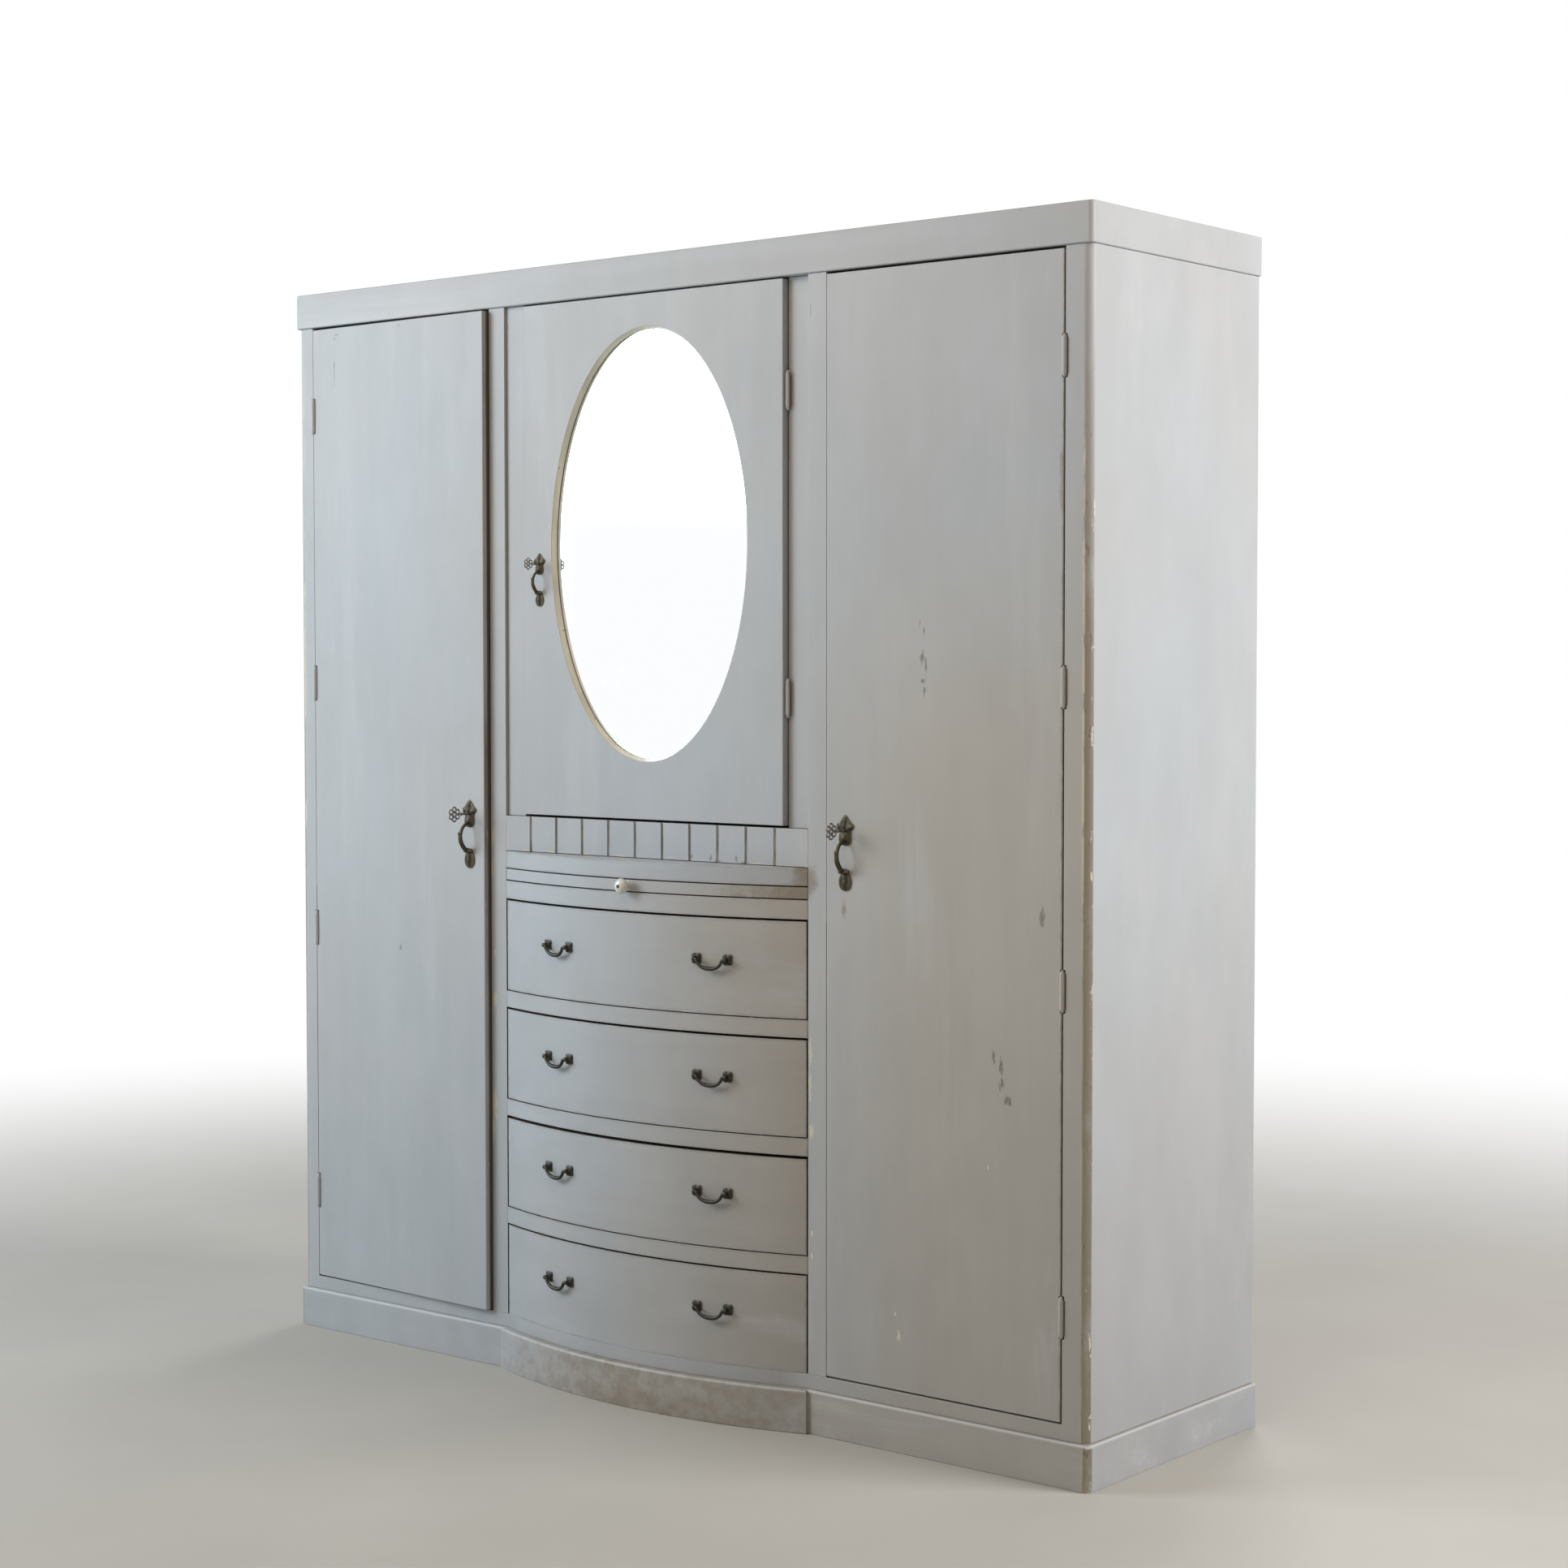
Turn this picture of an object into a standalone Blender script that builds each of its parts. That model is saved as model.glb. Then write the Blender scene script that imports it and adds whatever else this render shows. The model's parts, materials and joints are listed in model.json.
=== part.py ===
"""Grey painted linen cupboard: two full-height wings, and between them a mirror cupboard over a bow-fronted chest.

Metres, +Z up, front towards -Y. The origin is on the floor, at the middle of the whole cupboard's box.
"""

import math

import bmesh
import bpy
from mathutils import Matrix, Vector

# Carcass
TOTAL_HEIGHT = 1.960
CARCASS_WIDTH = 1.784
CARCASS_DEPTH = 0.497
SIDE_THICK = 0.020
POST_RETURN = 0.020
POST_DEPTH = 0.045
CORNER_RADIUS = 0.014
BAY_WIDTH = 0.692
PARTITION_THICK = 0.020
STILE_RETURN = 0.018
STILE_DEPTH = 0.030
FLOOR_THICK = 0.024
ROOF_THICK = 0.018
ROOF_SET_DOWN = 0.004
BACK_THICK = 0.008

# Cornice and plinth
CORNICE_HEIGHT = 0.0635
CORNICE_OVERHANG = 0.004
CORNICE_THICK = 0.022
PLINTH_HEIGHT = 0.0735
PLINTH_PROUD = 0.007
PLINTH_THICK = 0.022
PLINTH_BOW_PROUD = 0.0145
PLINTH_BOW_RETURN = 0.007

# Chest: bow, drawers, rails, and the fluted frieze over them
BOW_SAG = 0.058
DRAWER_COUNT = 4
DRAWER_OPENING = 0.1645
RAIL_THICK = 0.0303
RAIL_PROUD = 0.001
SLIDE_RAIL_THICK = 0.0325
CHEST_TOP_THICK = 0.030
FRIEZE_HEIGHT = 0.0628
FRIEZE_THICK = 0.022
FLUTE_COUNT = 10
FLUTE_END = 0.0657
FLUTE_WIDTH = 0.0045
FLUTE_DEPTH = 0.003
CUPBOARD_FLOOR_THICK = 0.018
CUPBOARD_FLOOR_SET_DOWN = 0.002

# Drawer
DRAWER_SIDE_GAP = 0.0015
DRAWER_TOP_GAP = 0.002
DRAWER_FRONT_LIFT = 0.0015
DRAWER_FRONT_THICK = 0.024
DRAWER_BOX_INSET = 0.001
DRAWER_SIDE_THICK = 0.012
DRAWER_BOTTOM_THICK = 0.008
DRAWER_BACK_GAP = 0.020
DRAWER_SIDE_DROP = 0.012

# Writing slide and its knob
SLIDE_THICK = 0.0205
SLIDE_TOP_GAP = 0.0017
SLIDE_SET_BACK = 0.003
SLIDE_BACK_GAP = 0.109
KNOB_REACH = 0.028
KNOB_RADIUS = 0.0135
KNOB_HEAD_HALF = 0.009
KNOB_NECK_RADIUS = 0.0065
KNOB_COLLAR_RADIUS = 0.0085
KNOB_COLLAR_THICK = 0.004

# Drawer pull: two turned posts that carry a drop bail
PULL_INSET = 0.1685
PULL_RISE = 0.011
POST_SPACING = 0.060
ROSETTE_RIM = 0.0032
ROSETTE_THICK = 0.003
STEM_WALL = 0.0021
BAIL_AXIS_OUT = 0.011
BAIL_RADIUS = 0.0021
BAIL_DROP = 0.0235
BAIL_BOW_OUT = 0.009
BAIL_PIN_PAST = 0.001
BAIL_CLEARANCE = 0.0004

# Wing doors
DOOR_THICK = 0.022
DOOR_GAP = 0.0022
DOOR_END_GAP = 0.0025
LEFT_DOOR_AJAR = math.radians(1.8)

# Mirror door and the strips that frame it
FILLER_WIDTH = 0.0515
FILLER_THICK = 0.022
FILLER_SET_BACK = 0.013
MIRROR_DOOR_THICK = 0.024
MIRROR_DOOR_SET_BACK = 0.001
MIRROR_SIDE_MARGIN = 0.071
MIRROR_TOP_MARGIN = 0.057
MIRROR_FOOT_MARGIN = 0.102
MIRROR_LIP = 0.010
GLASS_THICK = 0.004
GLASS_LAP = 0.007
BACKING_THICK = 0.005

# Butt hinges
HINGE_LENGTH = 0.066
KNUCKLE_RADIUS = 0.0045
MIRROR_KNUCKLE_RADIUS = 0.004
KNUCKLE_CLEARANCE = 0.0005
LEAF_THICK = 0.0012
LEAF_CLEARANCE = 0.0007
LEAF_DEPTH = 0.024
WING_HINGE_INSETS = (0.163, 0.665)
MIRROR_HINGE_FOOT_INSET = 0.2115
MIRROR_HINGE_TOP_INSET = 0.182

# Lock handles and keys
HANDLE_INSET = 0.0375
MIRROR_HANDLE_INSET = 0.031
WING_KEY_HEIGHT = 0.996
MIRROR_KEY_DROP = 0.005
MIRROR_HANDLE_SCALE = 0.76
PLATE_WIDTH = 0.032
PLATE_HEIGHT = 0.046
PLATE_THICK = 0.0035
PLATE_LOBES = 6
PLATE_LOBE_DEPTH = 0.10
FOOT_WIDTH = 0.0245
FOOT_HEIGHT = 0.034
FOOT_DROP = 0.081
GRIP_RADIUS = 0.0032
GRIP_REACH = 0.024
KEY_SHANK_RADIUS = 0.0022
KEY_CLEARANCE = 0.0004
KEY_DEPTH = 0.016
KEY_REACH = 0.038
KEY_BOW_RADIUS = 0.0135
KEY_BOW_THICK = 0.0028
KEY_BOW_LOBES = 6
KEY_BOW_LOBE_DEPTH = 0.09
KEY_PIERCING_RADIUS = 0.0026

# Shelves
SHELF_THICK = 0.018
SHELF_SET_BACK = 0.003
WING_SHELF_HEIGHTS = (0.700, 1.300)
CUPBOARD_SHELF_RISE = 0.447

# Fits and facets
FIT = 0.0003
CUT_PAST = 0.002
BOARD_ARRIS = 0.0012
WELD_DISTANCE = 0.00001
BOW_STEPS = 16
CORNER_STEPS = 5
OVAL_STEPS = 48
ROUND_STEPS = 12
POST_STEPS = 8
KNOB_STEPS = 16
LOBED_STEPS = 36
PIERCING_STEPS = 8

# A drawer's box and its bowed front meet at shallow angles, which the exact solver loses
DRAWER_SOLVER = "MANIFOLD"

# Finishes: colour, roughness, metallic
FINISHES = {
    "grey_paint": ((0.42, 0.43, 0.43), 0.45, 0.0),
    "bare_wood": ((0.36, 0.22, 0.12), 0.70, 0.0),
    "dark_bronze": ((0.06, 0.05, 0.035), 0.45, 0.9),
    "aged_iron": ((0.12, 0.11, 0.10), 0.50, 0.8),
    "white_porcelain": ((0.80, 0.79, 0.74), 0.15, 0.0),
    "mirror_silver": ((0.90, 0.91, 0.92), 0.02, 1.0),
}

# Planes of the carcass, worked out from the sizes above
WHOLE_DEPTH = CARCASS_DEPTH + BOW_SAG - SLIDE_SET_BACK + KNOB_REACH
BACK = WHOLE_DEPTH / 2
FRONT = BACK - CARCASS_DEPTH
INSIDE_BACK = BACK - BACK_THICK - FIT
HALF_WIDTH = CARCASS_WIDTH / 2
HALF_BAY = BAY_WIDTH / 2
SIDE_INNER = HALF_WIDTH - SIDE_THICK
POST_INNER = SIDE_INNER - POST_RETURN
PARTITION_OUTER = HALF_BAY + PARTITION_THICK
STILE_OUTER = PARTITION_OUTER + STILE_RETURN
FLOOR_TOP = PLINTH_HEIGHT + FLOOR_THICK
CORNICE_FOOT = TOTAL_HEIGHT - CORNICE_HEIGHT
ROOF_TOP = TOTAL_HEIGHT - ROOF_SET_DOWN
ROOF_FOOT = ROOF_TOP - ROOF_THICK
DOOR_FOOT = FLOOR_TOP + DOOR_END_GAP
DOOR_TOP = CORNICE_FOOT - DOOR_END_GAP

# Levels of the chest and its bow
DRAWER_HALF = HALF_BAY - DRAWER_SIDE_GAP
BOW_RADIUS = (DRAWER_HALF**2 + BOW_SAG**2) / (2 * BOW_SAG)
BOW_CENTRE = FRONT - BOW_SAG + BOW_RADIUS
DRAWER_PITCH = DRAWER_OPENING + RAIL_THICK
SLIDE_RAIL_FOOT = FLOOR_TOP + DRAWER_COUNT * DRAWER_PITCH - RAIL_THICK
SLIDE_FOOT = SLIDE_RAIL_FOOT + SLIDE_RAIL_THICK + FIT
CHEST_TOP_FOOT = SLIDE_FOOT + SLIDE_THICK + SLIDE_TOP_GAP
FRIEZE_FOOT = CHEST_TOP_FOOT + CHEST_TOP_THICK + FIT
FRIEZE_TOP = FRIEZE_FOOT + FRIEZE_HEIGHT
CUPBOARD_FLOOR_TOP = FRIEZE_TOP - CUPBOARD_FLOOR_SET_DOWN

# Pull posts and hinge lines
STEM_RADIUS = BAIL_RADIUS + BAIL_CLEARANCE + STEM_WALL
STEM_REACH = BAIL_AXIS_OUT + STEM_RADIUS
ROSETTE_RADIUS = STEM_RADIUS + ROSETTE_RIM
LEAF_ROOM = FIT + LEAF_THICK + LEAF_CLEARANCE
WING_AXIS_X = POST_INNER - LEAF_ROOM / 2
WING_AXIS_Y = FRONT - FIT

# Mirror door
FILLER_INNER = HALF_BAY - FILLER_WIDTH
FILLER_FRONT = FRONT + FILLER_SET_BACK
MIRROR_DOOR_GAP = max(MIRROR_KNUCKLE_RADIUS / 2 + KNUCKLE_CLEARANCE, LEAF_ROOM)
MIRROR_DOOR_HALF = FILLER_INNER - MIRROR_DOOR_GAP
MIRROR_DOOR_FRONT = FRONT + MIRROR_DOOR_SET_BACK
MIRROR_DOOR_BACK = MIRROR_DOOR_FRONT + MIRROR_DOOR_THICK
MIRROR_DOOR_FOOT = FRIEZE_TOP + DOOR_END_GAP
MIRROR_AXIS_X = FILLER_INNER + MIRROR_KNUCKLE_RADIUS / 2
MIRROR_AXIS_Y = FILLER_FRONT - MIRROR_KNUCKLE_RADIUS - FIT
MIRROR_HALF_WIDTH = MIRROR_DOOR_HALF - MIRROR_SIDE_MARGIN
MIRROR_FOOT = MIRROR_DOOR_FOOT + MIRROR_FOOT_MARGIN
MIRROR_TOP = DOOR_TOP - MIRROR_TOP_MARGIN
MIRROR_KEY_HEIGHT = (MIRROR_DOOR_FOOT + DOOR_TOP) / 2 - MIRROR_KEY_DROP
GLASS_FRONT = MIRROR_DOOR_FRONT + MIRROR_LIP + FIT
GLASS_BACK = GLASS_FRONT + GLASS_THICK


def clear_scene():
    for obj in list(bpy.data.objects):
        bpy.data.objects.remove(obj, do_unlink=True)


def collection_named(name):
    found = bpy.data.collections.get(name)
    if found is None:
        found = bpy.data.collections.new(name)
        bpy.context.scene.collection.children.link(found)
    return found


def finish_named(name):
    found = bpy.data.materials.get(name)
    if found is None:
        colour, roughness, metallic = FINISHES[name]
        found = bpy.data.materials.new(name)
        found.use_nodes = True
        shader = found.node_tree.nodes["Principled BSDF"]
        shader.inputs["Base Color"].default_value = (*colour, 1.0)
        shader.inputs["Roughness"].default_value = roughness
        shader.inputs["Metallic"].default_value = metallic
    return found


def add(name, data, finish):
    """Adds a part in the named finish, or a hidden cutter where there is no finish."""
    obj = bpy.data.objects.new(name, data)
    if finish is None:
        obj.hide_render = True
        obj.display_type = "WIRE"
        collection_named("cutters").objects.link(obj)
    else:
        data.materials.append(finish_named(finish))
        collection_named("linen_cupboard").objects.link(obj)
    return obj


def new_pivot(name, x, y):
    """An empty on an upright hinge line, which carries what swings there."""
    empty = bpy.data.objects.new(name, None)
    empty.location = (x, y, 0.0)
    collection_named("linen_cupboard").objects.link(empty)
    return empty


def hang(obj, parent):
    """Fixes a piece to a parent that hasn't been turned yet, leaving it where it is."""
    obj.parent = parent
    obj.matrix_parent_inverse = Matrix.Translation(-parent.location)


def combine(obj, other, operation, solver="EXACT"):
    """Cuts another solid from this one, or joins it on."""
    step = obj.modifiers.new(operation.lower(), "BOOLEAN")
    step.operation = operation
    step.solver = solver
    step.object = other


def ease(obj):
    """Takes the sharp arrises off a board."""
    bevel = obj.modifiers.new("arris", "BEVEL")
    bevel.width = BOARD_ARRIS
    bevel.segments = 1
    bevel.limit_method = "ANGLE"


def mesh_of(name, shape):
    mesh = bpy.data.meshes.new(name)
    shape.to_mesh(mesh)
    shape.free()
    return mesh


def block(name, x, y, z, finish):
    """A rectangular board that fills three (low, high) spans."""
    shape = bmesh.new()
    bmesh.ops.create_cube(shape, size=1.0)
    size = Vector((x[1] - x[0], y[1] - y[0], z[1] - z[0]))
    bmesh.ops.scale(shape, vec=size, verts=shape.verts)
    obj = add(name, mesh_of(name, shape), finish)
    obj.location = (sum(x) / 2, sum(y) / 2, sum(z) / 2)
    return obj


def rod(name, radius, length, steps, finish):
    """A round bar along its own Z, with its middle at its origin."""
    shape = bmesh.new()
    bmesh.ops.create_cone(
        shape, cap_ends=True, segments=steps, radius1=radius, radius2=radius, depth=length
    )
    obj = add(name, mesh_of(name, shape), finish)
    obj.data.shade_smooth()
    obj.data.set_sharp_from_angle(angle=math.radians(60))
    return obj


def solid_of(curve_object, finish):
    """Turns a curve into a welded mesh object of the same name and place."""
    bpy.context.view_layer.update()
    graph = bpy.context.evaluated_depsgraph_get()
    mesh = bpy.data.meshes.new_from_object(curve_object.evaluated_get(graph))
    shape = bmesh.new()
    shape.from_mesh(mesh)
    bmesh.ops.remove_doubles(shape, verts=shape.verts, dist=WELD_DISTANCE)
    bmesh.ops.recalc_face_normals(shape, faces=shape.faces)
    shape.to_mesh(mesh)
    shape.free()
    name = curve_object.name
    place = curve_object.matrix_world.copy()
    bpy.data.objects.remove(curve_object, do_unlink=True)
    obj = add(name, mesh, finish)
    obj.matrix_world = place
    return obj


def add_spline(curve, points):
    spline = curve.splines.new("POLY")
    spline.points.add(len(points) - 1)
    for point, place in zip(spline.points, points):
        point.co = (*place, 1.0)
    return spline


def slab(name, outlines, thick, place, finish):
    """A flat outline, with any holes, given a thickness about its own XY plane."""
    curve = bpy.data.curves.new(name, "CURVE")
    curve.dimensions = "2D"
    curve.fill_mode = "BOTH"
    curve.extrude = thick / 2
    for outline in outlines:
        add_spline(curve, [(x, y, 0.0) for x, y in outline]).use_cyclic_u = True
    flat = add(name, curve, None)
    flat.matrix_world = place
    return solid_of(flat, finish)


def board(name, outline, z, finish):
    """A plan outline raised between two heights."""
    place = Matrix.Translation((0.0, 0.0, sum(z) / 2))
    return slab(name, [outline], z[1] - z[0], place, finish)


def upright(x, y, z):
    """A frame whose XY plane stands upright, facing the front."""
    return Matrix.Translation((x, y, z)) @ Matrix.Rotation(math.pi / 2, 4, "X")


def tube(name, points, radius, finish):
    """A round bar bent along points."""
    curve = bpy.data.curves.new(name, "CURVE")
    curve.dimensions = "3D"
    curve.bevel_depth = radius
    curve.bevel_resolution = 2
    curve.use_fill_caps = True
    add_spline(curve, points)
    obj = solid_of(add(name, curve, None), finish)
    obj.data.shade_smooth()
    obj.data.set_sharp_from_angle(angle=math.radians(60))
    return obj


def turned(name, profile, steps, finish):
    """A turned piece about its own Z, from (radius, height) points that run from its top down its outside."""
    shape = bmesh.new()
    rim = [shape.verts.new((radius, 0.0, height)) for radius, height in profile]
    for upper, lower in zip(rim, rim[1:]):
        shape.edges.new((upper, lower))
    obj = add(name, mesh_of(name, shape), finish)
    screw = obj.modifiers.new("turn", "SCREW")
    screw.steps = steps
    screw.render_steps = steps
    screw.use_merge_vertices = True
    screw.merge_threshold = WELD_DISTANCE
    screw.use_smooth_shade = True
    return obj


def spread(low, high, steps):
    return [low + (high - low) * step / steps for step in range(steps + 1)]


def corner(x, y, start):
    """Points round an outer front corner of the carcass, from an angle in degrees through a quarter turn."""
    angles = [math.radians(angle) for angle in spread(start, start + 90, CORNER_STEPS)]
    return [(x + CORNER_RADIUS * math.cos(a), y + CORNER_RADIUS * math.sin(a)) for a in angles]


def left_corner(outer, front):
    return corner(CORNER_RADIUS - outer, front + CORNER_RADIUS, 180)


def right_corner(outer, front):
    return corner(outer - CORNER_RADIUS, front + CORNER_RADIUS, 270)


def oval(half_width, half_height, steps):
    angles = [math.tau * step / steps for step in range(steps)]
    return [(half_width * math.cos(a), half_height * math.sin(a)) for a in angles]


def hole_at(x, y, radius, steps):
    return [(x + across, y + along) for across, along in oval(radius, radius, steps)]


def lobed(half_width, half_height, lobes, depth):
    """An oval whose rim swells out in lobes, one of them at the top."""
    outline = []
    for step in range(LOBED_STEPS):
        angle = math.tau * step / LOBED_STEPS
        swell = 1 + depth * math.cos(lobes * (angle - math.pi / 2))
        outline.append((half_width * swell * math.cos(angle), half_height * swell * math.sin(angle)))
    return outline


def bow_line(half_width, proud=0.0):
    """Points along the bow from left to right, standing proud of the drawer fronts."""
    radius = BOW_RADIUS + proud
    across = spread(-half_width, half_width, BOW_STEPS)
    return [(x, BOW_CENTRE - math.sqrt(radius**2 - x**2)) for x in across]


def bowed_board(name, half_width, proud, back, z):
    """A board with a bowed front and a straight back."""
    outline = bow_line(half_width, proud) + [(half_width, back), (-half_width, back)]
    return board(name, outline, z, "grey_paint")


def drawer_floor(number):
    """The height that a drawer runs on, counted from the top drawer down."""
    return FLOOR_TOP + (DRAWER_COUNT - number) * DRAWER_PITCH


def make_plinth():
    outer = HALF_WIDTH + PLINTH_PROUD
    front = FRONT - PLINTH_PROUD
    bow_half = DRAWER_HALF + PLINTH_BOW_RETURN
    inner = outer - PLINTH_THICK
    inner_front = front + PLINTH_THICK
    inner_half = bow_half - PLINTH_THICK
    outline = [(-outer, BACK), *left_corner(outer, front), (-bow_half, front)]
    outline += bow_line(bow_half, PLINTH_BOW_PROUD)
    outline += [(bow_half, front), *right_corner(outer, front), (outer, BACK), (inner, BACK)]
    outline += [(inner, inner_front), (inner_half, inner_front)]
    outline += reversed(bow_line(inner_half, PLINTH_BOW_PROUD - PLINTH_THICK))
    outline += [(-inner_half, inner_front), (-inner, inner_front), (-inner, BACK)]
    ease(board("plinth_frame", outline, (0.0, PLINTH_HEIGHT), "grey_paint"))


def make_floor():
    """The floor board lies between the side panels, notched round their posts, and shows as the bottom rail."""
    wide = SIDE_INNER - FIT
    narrow = POST_INNER - FIT
    post_back = FRONT + POST_DEPTH + FIT
    outline = [(-wide, BACK), (-wide, post_back), (-narrow, post_back), (-narrow, FRONT)]
    outline += bow_line(DRAWER_HALF)
    outline += [(narrow, FRONT), (narrow, post_back), (wide, post_back), (wide, BACK)]
    board("floor_board", outline, (PLINTH_HEIGHT + FIT, FLOOR_TOP), "grey_paint")


def make_cornice():
    outer = HALF_WIDTH + CORNICE_OVERHANG
    front = FRONT - CORNICE_OVERHANG
    inner = outer - CORNICE_THICK
    inner_front = front + CORNICE_THICK
    outline = [(-outer, BACK), *left_corner(outer, front), *right_corner(outer, front), (outer, BACK)]
    outline += [(inner, BACK), (inner, inner_front), (-inner, inner_front), (-inner, BACK)]
    ease(board("cornice_frame", outline, (CORNICE_FOOT, TOTAL_HEIGHT), "grey_paint"))
    roof_half = inner - FIT
    deep = (inner_front + FIT, BACK)
    ease(block("roof_board", (-roof_half, roof_half), deep, (ROOF_FOOT, ROOF_TOP), "bare_wood"))


def make_side(name, sign, notches):
    """A side panel with its front post, notched for the door's knuckles."""
    post_back = FRONT + POST_DEPTH
    outline = [(POST_INNER, FRONT), *right_corner(HALF_WIDTH, FRONT), (HALF_WIDTH, BACK)]
    outline += [(SIDE_INNER, BACK), (SIDE_INNER, post_back), (POST_INNER, post_back)]
    placed = [(sign * x, y) for x, y in outline]
    side = board(name, placed, (PLINTH_HEIGHT + FIT, CORNICE_FOOT - FIT), "grey_paint")
    for notch in notches:
        combine(side, notch, "DIFFERENCE")


def make_partition(name, sign):
    """A partition with the stile that shows between the wing and the middle bay."""
    stile_back = FRONT + STILE_DEPTH
    outline = [(HALF_BAY, FRONT), (STILE_OUTER, FRONT), (STILE_OUTER, stile_back)]
    outline += [(PARTITION_OUTER, stile_back), (PARTITION_OUTER, INSIDE_BACK), (HALF_BAY, INSIDE_BACK)]
    placed = [(sign * x, y) for x, y in outline]
    board(name, placed, (FLOOR_TOP + FIT, CORNICE_FOOT - FIT), "grey_paint")


def make_back():
    half = SIDE_INNER - FIT
    height = (FLOOR_TOP + FIT, ROOF_FOOT - FIT)
    block("back_panel", (-half, half), (BACK - BACK_THICK, BACK), height, "bare_wood")


def make_rails():
    """The boards between the drawers, the one under the writing slide, and the top of the chest."""
    half = HALF_BAY - FIT
    boards = {"slide_rail": (SLIDE_RAIL_FOOT, SLIDE_FOOT - FIT)}
    boards["chest_top"] = (CHEST_TOP_FOOT, FRIEZE_FOOT - FIT)
    for number in range(1, DRAWER_COUNT):
        top = drawer_floor(number)
        boards[f"drawer_rail_{number}"] = (top - RAIL_THICK, top)
    for name, height in boards.items():
        ease(bowed_board(name, half, RAIL_PROUD, INSIDE_BACK, height))


def make_frieze():
    half = HALF_BAY - FIT
    height = (FRIEZE_FOOT, FRIEZE_TOP)
    frieze = block("fluted_frieze", (-half, half), (FRONT, FRONT + FRIEZE_THICK), height, "grey_paint")
    shape = bmesh.new()
    for x in spread(FLUTE_END - half, half - FLUTE_END, FLUTE_COUNT - 1):
        flute = bmesh.ops.create_cube(shape, size=1.0)["verts"]
        bmesh.ops.scale(shape, vec=(FLUTE_WIDTH, 2 * FLUTE_DEPTH, FRIEZE_HEIGHT + 2 * CUT_PAST), verts=flute)
        bmesh.ops.translate(shape, vec=(x, FRONT, sum(height) / 2), verts=flute)
    combine(frieze, add("flutes", mesh_of("flutes", shape), None), "DIFFERENCE")
    deep = (FRONT + FRIEZE_THICK + FIT, INSIDE_BACK)
    height = (CUPBOARD_FLOOR_TOP - CUPBOARD_FLOOR_THICK, CUPBOARD_FLOOR_TOP)
    block("cupboard_floor", (-half, half), deep, height, "bare_wood")


def make_fillers():
    deep = (FILLER_FRONT, FILLER_FRONT + FILLER_THICK)
    height = (FRIEZE_TOP + FIT, CORNICE_FOOT - FIT)
    ease(block("left_filler_strip", (FIT - HALF_BAY, -FILLER_INNER), deep, height, "grey_paint"))
    ease(block("right_filler_strip", (FILLER_INNER, HALF_BAY - FIT), deep, height, "grey_paint"))


def make_shelves():
    deep = (FRONT + max(POST_DEPTH, STILE_DEPTH) + SHELF_SET_BACK, INSIDE_BACK)
    outer = SIDE_INNER - FIT
    inner = PARTITION_OUTER + FIT
    for number, foot in enumerate(WING_SHELF_HEIGHTS, 1):
        height = (foot, foot + SHELF_THICK)
        ease(block(f"left_shelf_{number}", (-outer, -inner), deep, height, "bare_wood"))
        ease(block(f"right_shelf_{number}", (inner, outer), deep, height, "bare_wood"))
    half = HALF_BAY - FIT
    foot = CUPBOARD_FLOOR_TOP + CUPBOARD_SHELF_RISE
    deep = (max(FILLER_FRONT + FILLER_THICK, MIRROR_DOOR_BACK) + SHELF_SET_BACK, INSIDE_BACK)
    ease(block("cupboard_shelf", (-half, half), deep, (foot, foot + SHELF_THICK), "bare_wood"))


def make_hinge(name, x, y, z, radius, leaf_x):
    """A knuckle on its pin, with the leaf that is let in beside it."""
    hinge = rod(name, radius, HINGE_LENGTH, ROUND_STEPS, "aged_iron")
    hinge.location = (x, y, z)
    half = HINGE_LENGTH / 2 - CUT_PAST
    leaf = block(f"{name}_leaf", leaf_x, (y, y + LEAF_DEPTH), (z - half, z + half), None)
    combine(hinge, leaf, "UNION")


def knuckle_notch(name, x, y, z):
    """The room that a knuckle turns in, a little larger all round."""
    notch = rod(name, KNUCKLE_RADIUS + KNUCKLE_CLEARANCE, HINGE_LENGTH + 2 * FIT, ROUND_STEPS, None)
    notch.location = (x, y, z)
    return notch


def make_wing_hinges(side, sign):
    """The hinges of one wing door, and the notches that clear their knuckles in the post and in the door."""
    x = sign * WING_AXIS_X
    leaf = sorted((sign * (POST_INNER - FIT), sign * (POST_INNER - FIT - LEAF_THICK)))
    heights = [DOOR_FOOT + inset for inset in WING_HINGE_INSETS]
    heights += [DOOR_TOP - inset for inset in reversed(WING_HINGE_INSETS)]
    post_notches = []
    door_notches = []
    for number, z in enumerate(heights, 1):
        make_hinge(f"{side}_hinge_{number}", x, WING_AXIS_Y, z, KNUCKLE_RADIUS, leaf)
        post_notches.append(knuckle_notch(f"{side}_post_notch_{number}", x, WING_AXIS_Y, z))
        door_notches.append(knuckle_notch(f"{side}_door_notch_{number}", x, WING_AXIS_Y, z))
    return post_notches, door_notches


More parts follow.
